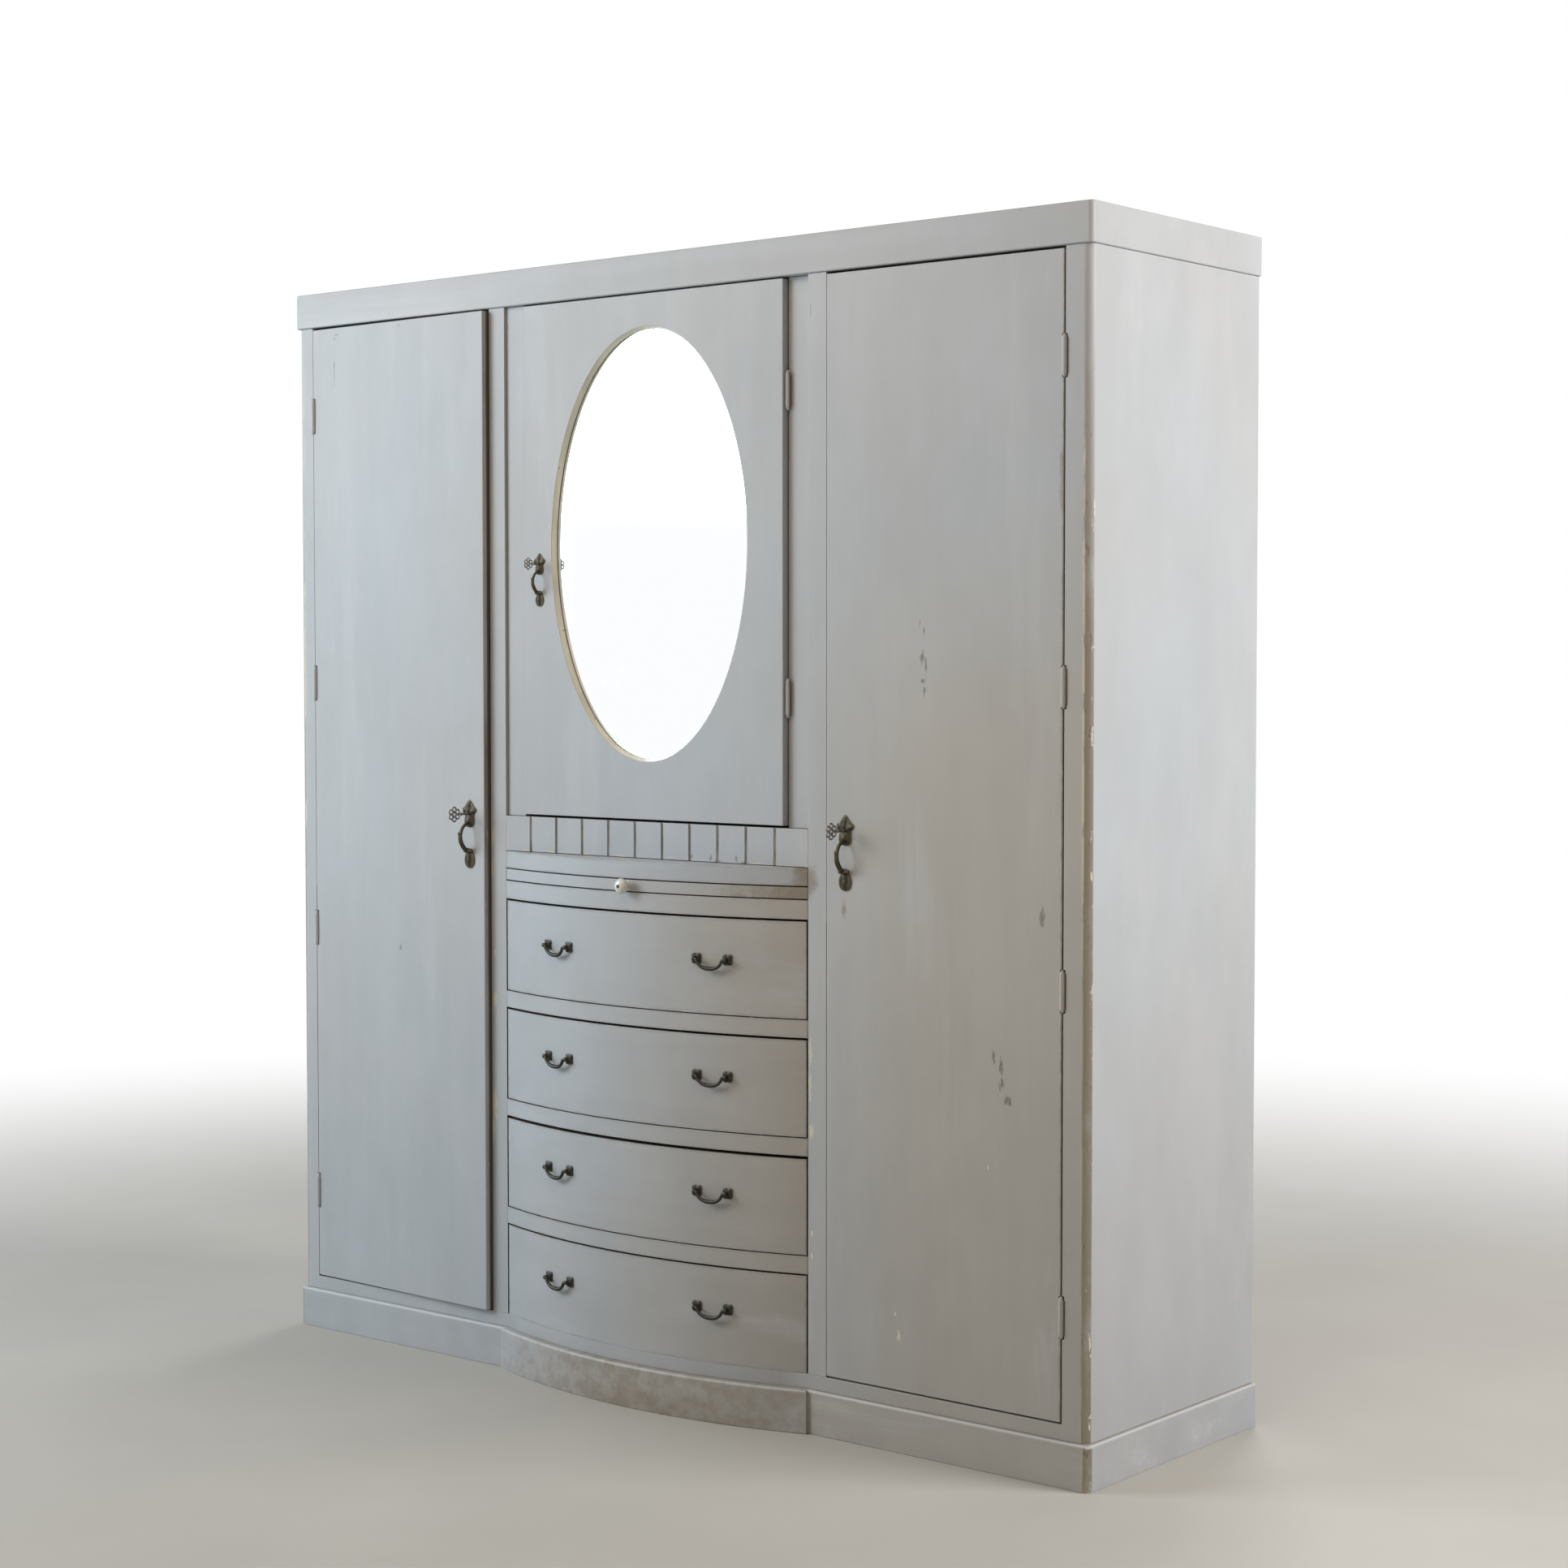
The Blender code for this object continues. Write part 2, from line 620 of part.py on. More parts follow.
def make_handle(name, x, front, z, scale):
    """A cast lock plate and foot, joined by a bowed grip, round a key hole at (x, z)."""
    thick = PLATE_THICK * scale
    middle = front - FIT - thick / 2
    rim = lobed(PLATE_WIDTH * scale / 2, PLATE_HEIGHT * scale / 2, PLATE_LOBES, PLATE_LOBE_DEPTH)
    hole = hole_at(0.0, 0.0, KEY_SHANK_RADIUS + KEY_CLEARANCE, ROUND_STEPS)
    handle = slab(name, [rim, hole], thick, upright(x, middle, z), "dark_bronze")
    foot_z = z - FOOT_DROP * scale
    foot_rim = oval(FOOT_WIDTH * scale / 2, FOOT_HEIGHT * scale / 2, LOBED_STEPS // 2)
    foot = slab(f"{name}_foot", [foot_rim], thick, upright(x, middle, foot_z), None)
    grip_top = z - (PLATE_HEIGHT / 2 - GRIP_RADIUS) * scale
    grip_foot = foot_z + FOOT_HEIGHT * scale / 4
    rise = (grip_top - grip_foot) / 2
    points = []
    for angle in spread(-90, 90, 2 * CORNER_STEPS):
        turn = math.radians(angle)
        out = GRIP_REACH * scale * max(math.cos(turn), 0.0) ** 0.6
        points.append((x, middle - out, grip_foot + rise * (1 + math.sin(turn))))
    grip = tube(f"{name}_grip", points, GRIP_RADIUS * scale, None)
    combine(handle, foot, "UNION")
    combine(handle, grip, "UNION")
    return [handle, foot, grip]


def make_key(name, x, front, z, scale):
    """A key with a pierced bow, which turns about its shank."""
    reach = KEY_REACH * scale
    radius = KEY_BOW_RADIUS * scale
    piercing = KEY_PIERCING_RADIUS * scale
    ring = (radius + piercing) / 2
    rim = lobed(radius, radius, KEY_BOW_LOBES, KEY_BOW_LOBE_DEPTH)
    outlines = [[(reach + out, up) for out, up in rim], hole_at(reach, 0.0, piercing, PIERCING_STEPS)]
    for lobe in range(KEY_BOW_LOBES):
        angle = math.pi / 2 + math.tau * lobe / KEY_BOW_LOBES
        out = reach + ring * math.cos(angle)
        outlines.append(hole_at(out, ring * math.sin(angle), piercing, PIERCING_STEPS))
    place = Matrix.Translation((x, front, z)) @ Matrix.Rotation(-math.pi / 2, 4, "Z") @ upright(0.0, 0.0, 0.0)
    key = slab(name, outlines, KEY_BOW_THICK * scale, place, "aged_iron")
    shank_out = reach - radius + piercing / 2
    shank = rod(f"{name}_shank", KEY_SHANK_RADIUS, KEY_DEPTH + shank_out, ROUND_STEPS, None)
    shank.rotation_euler = (math.pi / 2, 0.0, 0.0)
    shank.location = (x, front + (KEY_DEPTH - shank_out) / 2, z)
    combine(key, shank, "UNION")
    return [key, shank]


def make_key_hole(name, door, x, front, z):
    """The hole that a key turns in, from the front of a door to just past the key's end."""
    deep = KEY_DEPTH + 2 * CUT_PAST
    hole = rod(name, KEY_SHANK_RADIUS + KEY_CLEARANCE, deep, ROUND_STEPS, None)
    hole.rotation_euler = (math.pi / 2, 0.0, 0.0)
    hole.location = (x, front + deep / 2 - CUT_PAST, z)
    combine(door, hole, "DIFFERENCE")
    return hole


def make_wing_door(side, sign, notches):
    pivot = new_pivot(f"{side}_door_axis", sign * WING_AXIS_X, WING_AXIS_Y)
    inner = sign * (STILE_OUTER + DOOR_GAP)
    width = sorted((inner, sign * (POST_INNER - LEAF_ROOM)))
    door = block(f"{side}_door", width, (FRONT, FRONT + DOOR_THICK), (DOOR_FOOT, DOOR_TOP), "grey_paint")
    ease(door)
    for notch in notches:
        combine(door, notch, "DIFFERENCE")
    x = inner + sign * HANDLE_INSET
    pieces = [door, *notches, make_key_hole(f"{side}_key_hole", door, x, FRONT, WING_KEY_HEIGHT)]
    pieces += make_handle(f"{side}_door_handle", x, FRONT, WING_KEY_HEIGHT, 1.0)
    pieces += make_key(f"{side}_door_key", x, FRONT, WING_KEY_HEIGHT, 1.0)
    for piece in pieces:
        hang(piece, pivot)
    return pivot


def oval_plate(name, grow, front, back, finish):
    """An upright oval that is larger all round than the mirror's opening."""
    rim = oval(MIRROR_HALF_WIDTH + grow, (MIRROR_TOP - MIRROR_FOOT) / 2 + grow, OVAL_STEPS)
    place = upright(0.0, (front + back) / 2, (MIRROR_TOP + MIRROR_FOOT) / 2)
    return slab(name, [rim], back - front, place, finish)


def make_mirror_door():
    pivot = new_pivot("mirror_door_axis", MIRROR_AXIS_X, MIRROR_AXIS_Y)
    leaf = (FILLER_INNER - FIT - LEAF_THICK, FILLER_INNER - FIT)
    heights = (MIRROR_DOOR_FOOT + MIRROR_HINGE_FOOT_INSET, DOOR_TOP - MIRROR_HINGE_TOP_INSET)
    for number, z in enumerate(heights, 1):
        make_hinge(f"mirror_hinge_{number}", MIRROR_AXIS_X, MIRROR_AXIS_Y, z, MIRROR_KNUCKLE_RADIUS, leaf)
    width = (-MIRROR_DOOR_HALF, MIRROR_DOOR_HALF)
    deep = (MIRROR_DOOR_FRONT, MIRROR_DOOR_BACK)
    door = block("mirror_door", width, deep, (MIRROR_DOOR_FOOT, DOOR_TOP), "grey_paint")
    ease(door)
    past_back = MIRROR_DOOR_BACK + CUT_PAST
    sight = oval_plate("mirror_sight", 0.0, MIRROR_DOOR_FRONT - CUT_PAST, past_back, None)
    rebate = oval_plate("mirror_rebate", GLASS_LAP + FIT, MIRROR_DOOR_FRONT + MIRROR_LIP, past_back, None)
    combine(door, sight, "DIFFERENCE")
    combine(door, rebate, "DIFFERENCE")
    glass = oval_plate("mirror_glass", GLASS_LAP, GLASS_FRONT, GLASS_BACK, "mirror_silver")
    backing_front = GLASS_BACK + FIT
    backing_back = backing_front + BACKING_THICK
    backing = oval_plate("mirror_backing", GLASS_LAP, backing_front, backing_back, "bare_wood")
    x = MIRROR_HANDLE_INSET - MIRROR_DOOR_HALF
    spot = (x, MIRROR_DOOR_FRONT, MIRROR_KEY_HEIGHT)
    pieces = [door, sight, rebate, glass, backing, make_key_hole("mirror_key_hole", door, *spot)]
    pieces += make_handle("mirror_door_handle", *spot, MIRROR_HANDLE_SCALE)
    pieces += make_key("mirror_door_key", *spot, MIRROR_HANDLE_SCALE)
    for piece in pieces:
        hang(piece, pivot)


def make_bail(name, place):
    """A drop bail: two pins in line, and a bowed wire that hangs between them."""
    pin_end = POST_SPACING / 2 + STEM_RADIUS + BAIL_PIN_PAST
    shoulder = POST_SPACING / 2 - STEM_RADIUS - BAIL_RADIUS - BAIL_PIN_PAST
    points = [(-pin_end, 0.0, 0.0)]
    for angle in spread(0, 180, 2 * CORNER_STEPS):
        turn = math.radians(angle)
        fall = max(math.sin(turn), 0.0) ** 0.7
        points.append((-shoulder * math.cos(turn), -BAIL_BOW_OUT * fall, (BAIL_RADIUS - BAIL_DROP) * fall))
    points.append((pin_end, 0.0, 0.0))
    bail = tube(name, points, BAIL_RADIUS, "dark_bronze")
    bail.matrix_world = place
    return bail


def add_posts(drawer, name, facing):
    """Joins the two turned posts of a pull to a drawer front, and bores them for the bail's pins."""
    sunk = -DRAWER_FRONT_THICK / 2
    profile = [(0.0, STEM_REACH), (STEM_RADIUS, STEM_REACH), (STEM_RADIUS, ROSETTE_THICK)]
    profile += [(ROSETTE_RADIUS, ROSETTE_THICK), (ROSETTE_RADIUS, sunk), (0.0, sunk)]
    for end, x in (("a", -POST_SPACING / 2), ("b", POST_SPACING / 2)):
        post = turned(f"{name}_post_{end}", profile, POST_STEPS, None)
        post.matrix_world = facing @ upright(x, -BOW_RADIUS, 0.0)
        combine(drawer, post, "UNION", DRAWER_SOLVER)
    length = POST_SPACING + 2 * (STEM_RADIUS + CUT_PAST)
    bore = rod(f"{name}_pin_bore", BAIL_RADIUS + BAIL_CLEARANCE, length, PIERCING_STEPS, None)
    along = Matrix.Rotation(math.pi / 2, 4, "Y")
    bore.matrix_world = facing @ Matrix.Translation((0.0, -BOW_RADIUS - BAIL_AXIS_OUT, 0.0)) @ along
    combine(drawer, bore, "DIFFERENCE", DRAWER_SOLVER)


def make_drawer(number):
    """A drawer that runs on the board under it: an open box behind a bowed front with two pulls."""
    name = f"drawer_{number}"
    runs_on = drawer_floor(number)
    foot = runs_on + FIT
    front_foot = runs_on + DRAWER_FRONT_LIFT
    top = runs_on + DRAWER_OPENING - DRAWER_TOP_GAP
    box_half = DRAWER_HALF - DRAWER_BOX_INSET
    back = INSIDE_BACK - DRAWER_BACK_GAP
    drawer = bowed_board(name, box_half, -DRAWER_FRONT_THICK / 2, back, (foot, top - DRAWER_SIDE_DROP))
    face = bow_line(DRAWER_HALF) + bow_line(DRAWER_HALF, -DRAWER_FRONT_THICK)[::-1]
    front = board(f"{name}_front", face, (front_foot, top), None)
    ease(front)
    combine(drawer, front, "UNION", DRAWER_SOLVER)
    hollow_half = box_half - DRAWER_SIDE_THICK
    hollow_back = back - DRAWER_SIDE_THICK
    hollow = bow_line(hollow_half, -DRAWER_FRONT_THICK) + [(hollow_half, hollow_back), (-hollow_half, hollow_back)]
    inside = board(f"{name}_hollow", hollow, (foot + DRAWER_BOTTOM_THICK, top + CUT_PAST), None)
    combine(drawer, inside, "DIFFERENCE", DRAWER_SOLVER)
    pull_z = (front_foot + top) / 2 + PULL_RISE
    pull_turn = math.asin((DRAWER_HALF - PULL_INSET) / BOW_RADIUS)
    for side, turn in (("left", -pull_turn), ("right", pull_turn)):
        facing = Matrix.Translation((0.0, BOW_CENTRE, pull_z)) @ Matrix.Rotation(turn, 4, "Z")
        add_posts(drawer, f"{name}_{side}", facing)
        axis = facing @ Matrix.Translation((0.0, -BOW_RADIUS - BAIL_AXIS_OUT, 0.0))
        hang(make_bail(f"{name}_{side}_bail", axis), drawer)


def make_writing_slide():
    height = (SLIDE_FOOT, SLIDE_FOOT + SLIDE_THICK)
    slide = bowed_board("writing_slide", DRAWER_HALF, -SLIDE_SET_BACK, INSIDE_BACK - SLIDE_BACK_GAP, height)
    reach = KNOB_REACH - FIT
    neck_turn = -math.acos(KNOB_NECK_RADIUS / KNOB_RADIUS)
    profile = []
    for turn in spread(math.pi / 2, neck_turn, 2 * CORNER_STEPS):
        profile.append((KNOB_RADIUS * math.cos(turn), reach - KNOB_HEAD_HALF * (1 - math.sin(turn))))
    profile[0] = (0.0, reach)
    profile += [(KNOB_NECK_RADIUS, KNOB_COLLAR_THICK), (KNOB_COLLAR_RADIUS, KNOB_COLLAR_THICK)]
    profile += [(KNOB_COLLAR_RADIUS, 0.0), (0.0, 0.0)]
    knob = turned("slide_knob", profile, KNOB_STEPS, "white_porcelain")
    knob.matrix_world = upright(0.0, FRONT - BOW_SAG + SLIDE_SET_BACK - FIT, sum(height) / 2)
    hang(knob, slide)


def main():
    clear_scene()
    make_plinth()
    make_floor()
    make_cornice()
    make_back()
    make_rails()
    make_frieze()
    make_fillers()
    make_shelves()
    make_mirror_door()
    for side, sign in (("left", -1), ("right", 1)):
        post_notches, door_notches = make_wing_hinges(side, sign)
        make_side(f"{side}_side_panel", sign, post_notches)
        make_partition(f"{side}_partition", sign)
        pivot = make_wing_door(side, sign, door_notches)
        if side == "left":
            pivot.rotation_euler = (0.0, 0.0, -LEFT_DOOR_AJAR)
    for number in range(1, DRAWER_COUNT + 1):
        make_drawer(number)
    make_writing_slide()


if __name__ == "__main__":
    main()
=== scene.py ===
"""Looks of the grey painted linen cupboard: worn paint, bare timber, bronze fittings and an oval mirror.

Metres, +Z up, front towards -Y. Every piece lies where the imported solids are, and rides on their bodies.
"""

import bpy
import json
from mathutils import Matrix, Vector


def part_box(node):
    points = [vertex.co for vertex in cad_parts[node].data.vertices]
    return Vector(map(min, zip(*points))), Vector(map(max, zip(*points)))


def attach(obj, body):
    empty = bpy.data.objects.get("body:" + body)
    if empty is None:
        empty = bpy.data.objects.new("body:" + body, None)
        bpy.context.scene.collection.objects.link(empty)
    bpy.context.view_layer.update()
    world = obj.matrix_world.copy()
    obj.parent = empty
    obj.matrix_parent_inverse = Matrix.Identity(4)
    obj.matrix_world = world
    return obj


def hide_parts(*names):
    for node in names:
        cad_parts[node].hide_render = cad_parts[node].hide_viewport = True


bl_info = {
    "name": "Grey Linen Cupboard",
    "version": (1, 0, 0),
    "blender": (4, 5, 0),
    "location": "View3D > Sidebar > Cupboard",
    "description": "Dresses the linen cupboard in worn grey paint, timber, bronze and mirror glass",
    "category": "Object",
}

import json
import math

import bmesh
import bpy
from bpy.props import FloatProperty, FloatVectorProperty, IntProperty, PointerProperty
from mathutils import Matrix, Vector

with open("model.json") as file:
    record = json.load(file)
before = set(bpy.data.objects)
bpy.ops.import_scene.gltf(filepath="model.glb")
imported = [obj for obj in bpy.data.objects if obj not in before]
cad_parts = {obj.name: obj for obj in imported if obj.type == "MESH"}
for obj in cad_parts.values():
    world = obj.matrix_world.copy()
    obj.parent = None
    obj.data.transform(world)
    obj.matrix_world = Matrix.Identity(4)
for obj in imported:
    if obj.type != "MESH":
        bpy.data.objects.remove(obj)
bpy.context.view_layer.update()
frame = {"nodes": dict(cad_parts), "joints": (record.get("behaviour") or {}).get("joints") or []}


def low(node):
    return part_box(node)[0]


def high(node):
    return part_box(node)[1]


# Planes of the carcass and the bow of the drawers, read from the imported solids
FRONT = low("fluted_frieze").y
HALF_WIDTH = high("right_side_panel").x
DRAWER_HALF = high("writing_slide").x
BOW_SAG = FRONT - low("floor_board").y
BOW_RADIUS = (DRAWER_HALF**2 + BOW_SAG**2) / (2 * BOW_SAG)
BOW_CENTRE = FRONT - BOW_SAG + BOW_RADIUS
JOINTS = {joint["name"]: joint for joint in frame["joints"]}
SIDES = {"left": -1, "right": 1}
DOORS = ("left", "right", "mirror")
DRAWERS = (1, 2, 3, 4)

# How far each drawer has sagged below its packed top
TOP_GAPS = {1: 0.0011, 2: 0.0014, 3: 0.0026, 4: 0.0005}

# How far the wing doors have sagged, how tight their left edges shut, and how far the right post reaches in
# with the door's edge and the knuckles, which all lie within a hinge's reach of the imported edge
DOOR_SAG = 0.0013
DOOR_CLOSE = 0.0021
POST_REACH = 0.0065
HINGE_REACH = 0.005

# How the writing slide has moved: longer at the left, further out in front and higher at its foot
SLIDE_LEFT = 0.0011
SLIDE_OUT = 0.0028
SLIDE_LIFT = 0.0012

# Brush and grain directions: how fast the marks change along X, Y and Z
UPRIGHT = (30.0, 30.0, 2.0)
DABBED = (22.0, 22.0, 4.5)
ACROSS = (1.3, 30.0, 34.0)
INWARDS = (30.0, 1.3, 30.0)
EVEN = (1.0, 1.0, 1.0)

# Widths, heights and depths over which painted shade, wear and paint come on
# Painted shade: the paint warmer and darker low down towards the right, and darker towards the floor
SHADE_RIGHT = (0.15, 0.65)
SHADE_CHEST = (-0.2, 0.4)
SHADE_PLINTH = (-0.45, 0.05)
SHADE_LOW = (1.62, 1.05)
FOOT_SHADE_RIGHT = (-0.5, 0.3)
FOOT_SHADE_LOW = (1.15, 0.0)
HANDLED_LOW = (1.88, 1.62)
BROWNED_LOW = (1.72, 1.20)
CREAM_HIGH = (0.75, 1.05)
POST_WIDTHS = (HALF_WIDTH - 0.04, HALF_WIDTH - 0.02)
EDGE_SHADE = (FRONT - 0.0085, FRONT - 0.0035)
LIP_DEPTHS = (FRONT + 0.013, FRONT + 0.009)
LIP_HEIGHTS = (0.840, 0.850)

# How far wear and the darker paint beside the edges reach from an edge, how worn the paint must be to chip,
# and the depth of fine relief
WEAR_REACH = 0.0035
DARK_EDGE_REACH = 0.008
CHIP_LIMIT = 2.02
BRUSH_RELIEF = 0.0002
COARSE_RELIEF = 0.0003

# How much of a face's normal lies along an axis that the face looks along, or at least leans towards
FACING = 0.9
LEANING = 0.7

# Small working sizes
WELD = 0.00001
FLAT_ANGLE = math.radians(0.5)
TIP = 0.00002
BOW_STEPS = 40
CORNER_STEPS = 8
STILL = (0.0, 0.0, 0.0)
WHITE = (1.0, 1.0, 1.0)


def colour_value(name, description, default):
    return FloatVectorProperty(
        name=name, description=description, subtype="COLOR", min=0.0, max=1.0, default=default,
    )


def share_value(name, description, default):
    return FloatProperty(
        name=name, description=description, subtype="FACTOR", min=0.0, max=1.0, default=default,
    )


def length_value(name, description, default):
    return FloatProperty(name=name, description=description, unit="LENGTH", default=default)


def power_value(name, description, default):
    return FloatProperty(name=name, description=description, unit="POWER", default=default)


def count_value(name, description, default, least):
    return IntProperty(name=name, description=description, min=least, default=default)


class PaintSettings(bpy.types.PropertyGroup):
    """Colours, wear and painted shade of the grey paint."""

    cool: colour_value("Cool grey", "Paint where it is least yellowed", (0.474, 0.499, 0.523))
    warm: colour_value("Warm grey", "Paint where it has yellowed", (0.484, 0.487, 0.492))
    # also the painted highlight on the rounded edges
    rubbed_and_lit: colour_value("Rubbed grey", "Paint that hands and cloths have worn pale", (0.550, 0.560, 0.565))
    undercoat: colour_value("Undercoat", "Cream coat under the grey", (0.660, 0.615, 0.480))
    timber: colour_value("Worn timber", "Brown wood where both coats are gone", (0.200, 0.145, 0.085))
    # soiling on the scuffs, and painted shade deep in the gaps
    grime: colour_value("Grime", "Dirt in gaps and on scuffs", (0.060, 0.050, 0.038))
    # darker paint in the frieze's grooves
    flute_grime: colour_value("Flute grime", "Dirty paint in the frieze's grooves", (0.240, 0.241, 0.238))
    corner: colour_value("Worn corner", "Thin brownish paint on the rounded corners", (0.295, 0.246, 0.165))
    # painted shade: the warmer, darker grey low down at the right
    shaded_grey: colour_value("Yellowed grey", "Paint of the right half, low down", (0.480, 0.442, 0.395))
    wear: share_value("Edge wear", "How easily the edges are chipped", 0.24)
    # painted shade: how light the paint stays at the floor
    foot_shade: share_value("Foot tone", "Lightness of the grubby paint at the floor", 0.80)
    streak: share_value("Brush streaks", "How far brush marks change the paint's lightness", 0.035)


class TimberSettings(bpy.types.PropertyGroup):
    """Colours of the unpainted wood."""

    pale: colour_value("Pale wood", "Early wood between the grain lines", (0.400, 0.262, 0.150))
    dark: colour_value("Dark grain", "Grain lines of the wood", (0.215, 0.122, 0.060))


class FittingSettings(bpy.types.PropertyGroup):
    """Colours of the metal, porcelain and glass fittings."""

    bronze: colour_value("Handle bronze", "Darkened metal of the door handles", (0.046, 0.039, 0.025))
    # raised metal, worn bright and with a painted highlight; the same for the pulls below
    rubbed_and_lit: colour_value("Rubbed bronze", "Raised metal that hands keep bright", (0.170, 0.140, 0.085))
    pull: colour_value("Pull bronze", "Greener metal of the drawer pulls", (0.028, 0.026, 0.020))
    pull_rubbed_and_lit: colour_value("Rubbed pull", "Raised parts of the drawer pulls", (0.085, 0.085, 0.062))
    iron: colour_value("Iron", "Metal of the keys and nails", (0.250, 0.238, 0.220))
    rust: colour_value("Rust", "Brown specks on the iron", (0.085, 0.060, 0.040))
    porcelain: colour_value("Porcelain", "Glaze of the slide's knob", (0.800, 0.790, 0.730))
    crack: colour_value("Cracks", "Fine net of cracks in the glaze", (0.420, 0.370, 0.280))
    # near black, with the shade of the knob's hollow painted in
    screw: colour_value("Knob screw", "Dark screw in the knob's hollow", (0.022, 0.020, 0.017))
    rim: colour_value("Oval rim", "Cream and gilt rim of the mirror", (0.760, 0.735, 0.600))
    # soiling and painted shade where the rim meets the glass
    rim_grime: colour_value("Rim grime", "Dirt between the rim and the glass", (0.120, 0.108, 0.075))
    silver: colour_value("Silvering", "Mirror glass where its silver is whole", (0.972, 0.982, 0.990))
    fleck: colour_value("Flecks", "Spots where the silver has gone", (0.300, 0.420, 0.500))


class BoardSettings(bpy.types.PropertyGroup):
    """Sizes of the boards that the solids give only roughly."""

    arris: length_value("Arris", "Rounding of the boards' edges", 0.0007)
    corner_radius: length_value("Corner radius", "Rounding of the plinth's front corners", 0.014)
    cornice_corner: length_value("Cornice corner", "Rounding of the cornice's front corners", 0.008)
    plinth_round: length_value("Plinth round", "Rounding of the plinth's top edge", 0.006)
    plinth_thick: length_value("Plinth thickness", "Thickness of the plinth boards", 0.022)
    plinth_return: length_value("Plinth return", "How far the plinth's bow passes the drawers", 0.007)
    cornice_round: length_value("Cornice round", "Rounding of the cornice's edges", 0.0025)
    cornice_thick: length_value("Cornice thickness", "Thickness of the cornice boards", 0.022)
    filler_forward: length_value("Filler forward", "How far the left strip stands before its solid", 0.0075)
    post_depth: length_value("Post depth", "Depth of the posts and stiles at the front", 0.046)
    back_boards: count_value("Back boards", "Upright boards in the back", 10, 2)
    back_groove: length_value("Back groove", "Half width of the V between two back boards", 0.0022)
    flutes: count_value("Flutes", "Grooves in the frieze", 10, 2)
    flute_end: length_value("Flute margin", "From the frieze's end to its first groove", 0.0657)
    frieze_seam: length_value("Frieze seam", "How far the frieze has lifted off the chest top", 0.0010)
    flute_aside: length_value("Flutes aside", "How far the grooves lie left of the middle", 0.0045)
    flute_width: length_value("Flute width", "Width of a groove", 0.0062)
    flute_depth: length_value("Flute depth", "Depth of a groove", 0.003)


class DrawerSettings(bpy.types.PropertyGroup):
    """Sizes of the drawers and their pulls."""

    front_thick: length_value("Front thickness", "Thickness of the bowed fronts", 0.024)
    front_round: length_value("Front rounding", "Rounding of the fronts' edges", 0.0018)
    front_lift: length_value("Front lift", "How far the front clears what the drawer runs on", 0.0012)
    left_clear: length_value("Left gap", "How much shorter the fronts are at the left", 0.0014)
    right_clear: length_value("Right gap", "How much shorter the fronts are at the right", 0.0018)
    side_thick: length_value("Side thickness", "Thickness of the drawer's sides and back", 0.012)
    side_inset: length_value("Side inset", "From the front's end to the side", 0.001)
    side_drop: length_value("Side drop", "From the front's top to the side's top", 0.012)
    back_drop: length_value("Back drop", "From the side's top to the back's top", 0.006)
    bottom_thick: length_value("Bottom thickness", "Thickness of the drawer's bottom", 0.008)
    tails: count_value("Dovetails", "Tails on each drawer side", 4, 1)
    rosette: length_value("Rosette", "Half size of a pull's rosette", 0.0098)
    post_spacing: length_value("Post spacing", "Between the two posts of a pull", 0.060)


class MirrorSettings(bpy.types.PropertyGroup):
    """Sizes of the mirror door's oval."""

    rim_across: length_value("Rim across", "Half width of the oval at the door's face", 0.2237)
    rim_up: length_value("Rim up", "Half height of the oval at the door's face", 0.3703)
    aside: length_value("Aside", "From the packed glass's middle to the oval's", -0.0085)
    slope_width: length_value("Slope width", "Width of the rim's gilt slope", 0.0035)
    slope_depth: length_value("Slope depth", "Depth of the rim's gilt slope", 0.0101)
    glass_depth: length_value("Glass depth", "From the door's face to the glass", 0.0117)
    lap: length_value("Lap", "How far the glass passes behind the rim", 0.006)
    left_over: length_value("Left over", "How far the door passes its packed left edge", 0.0075)
    lower_gap: length_value("Lower gap", "How far the door clears its packed foot", 0.0015)
    edge_round: length_value("Edge rounding", "Rounding of the door's outer edges", 0.0014)
    steps: count_value("Oval steps", "Points round the oval", 160, 24)


class StageSettings(bpy.types.PropertyGroup):
    """Floor, lights and camera."""

    floor: colour_value("Floor", "Colour of the floor near the cupboard", (0.530, 0.511, 0.472))
    floor_radius: length_value("Floor radius", "Radius of the floor", 14.0)
    camera_place: FloatVectorProperty(
        name="Camera place", description="Where the camera stands", subtype="TRANSLATION",
        default=(3.27124, -3.84289, 1.26432),
    )
    camera_turn: FloatVectorProperty(
        name="Camera turn", description="Where the camera looks", subtype="EULER",
        default=(1.528970, 0.000297, 0.685897),
    )
    lens: FloatProperty(
        name="Lens", description="Focal length on a 36 mm sensor", unit="CAMERA", default=65.7285,
    )
    window_power: power_value("Window power", "Cool light from the left front", 144.0)
    low_power: power_value("Low power", "Cooler light from low on the left", 36.0)
    high_power: power_value("High power", "Warm light from high in front", 34.0)
    side_power: power_value("Side power", "Plain light on the right side", 196.0)
    back_power: power_value("Back power", "Plain light on the back", 90.0)
    ambient: colour_value("Ambient", "Light from all round", (0.03, 0.03, 0.03))


SETTINGS = {
    "cupboard_paint": PaintSettings,
    "cupboard_timber": TimberSettings,
    "cupboard_fittings": FittingSettings,
    "cupboard_boards": BoardSettings,
    "cupboard_drawers": DrawerSettings,
    "cupboard_mirror": MirrorSettings,
    "cupboard_stage": StageSettings,
}


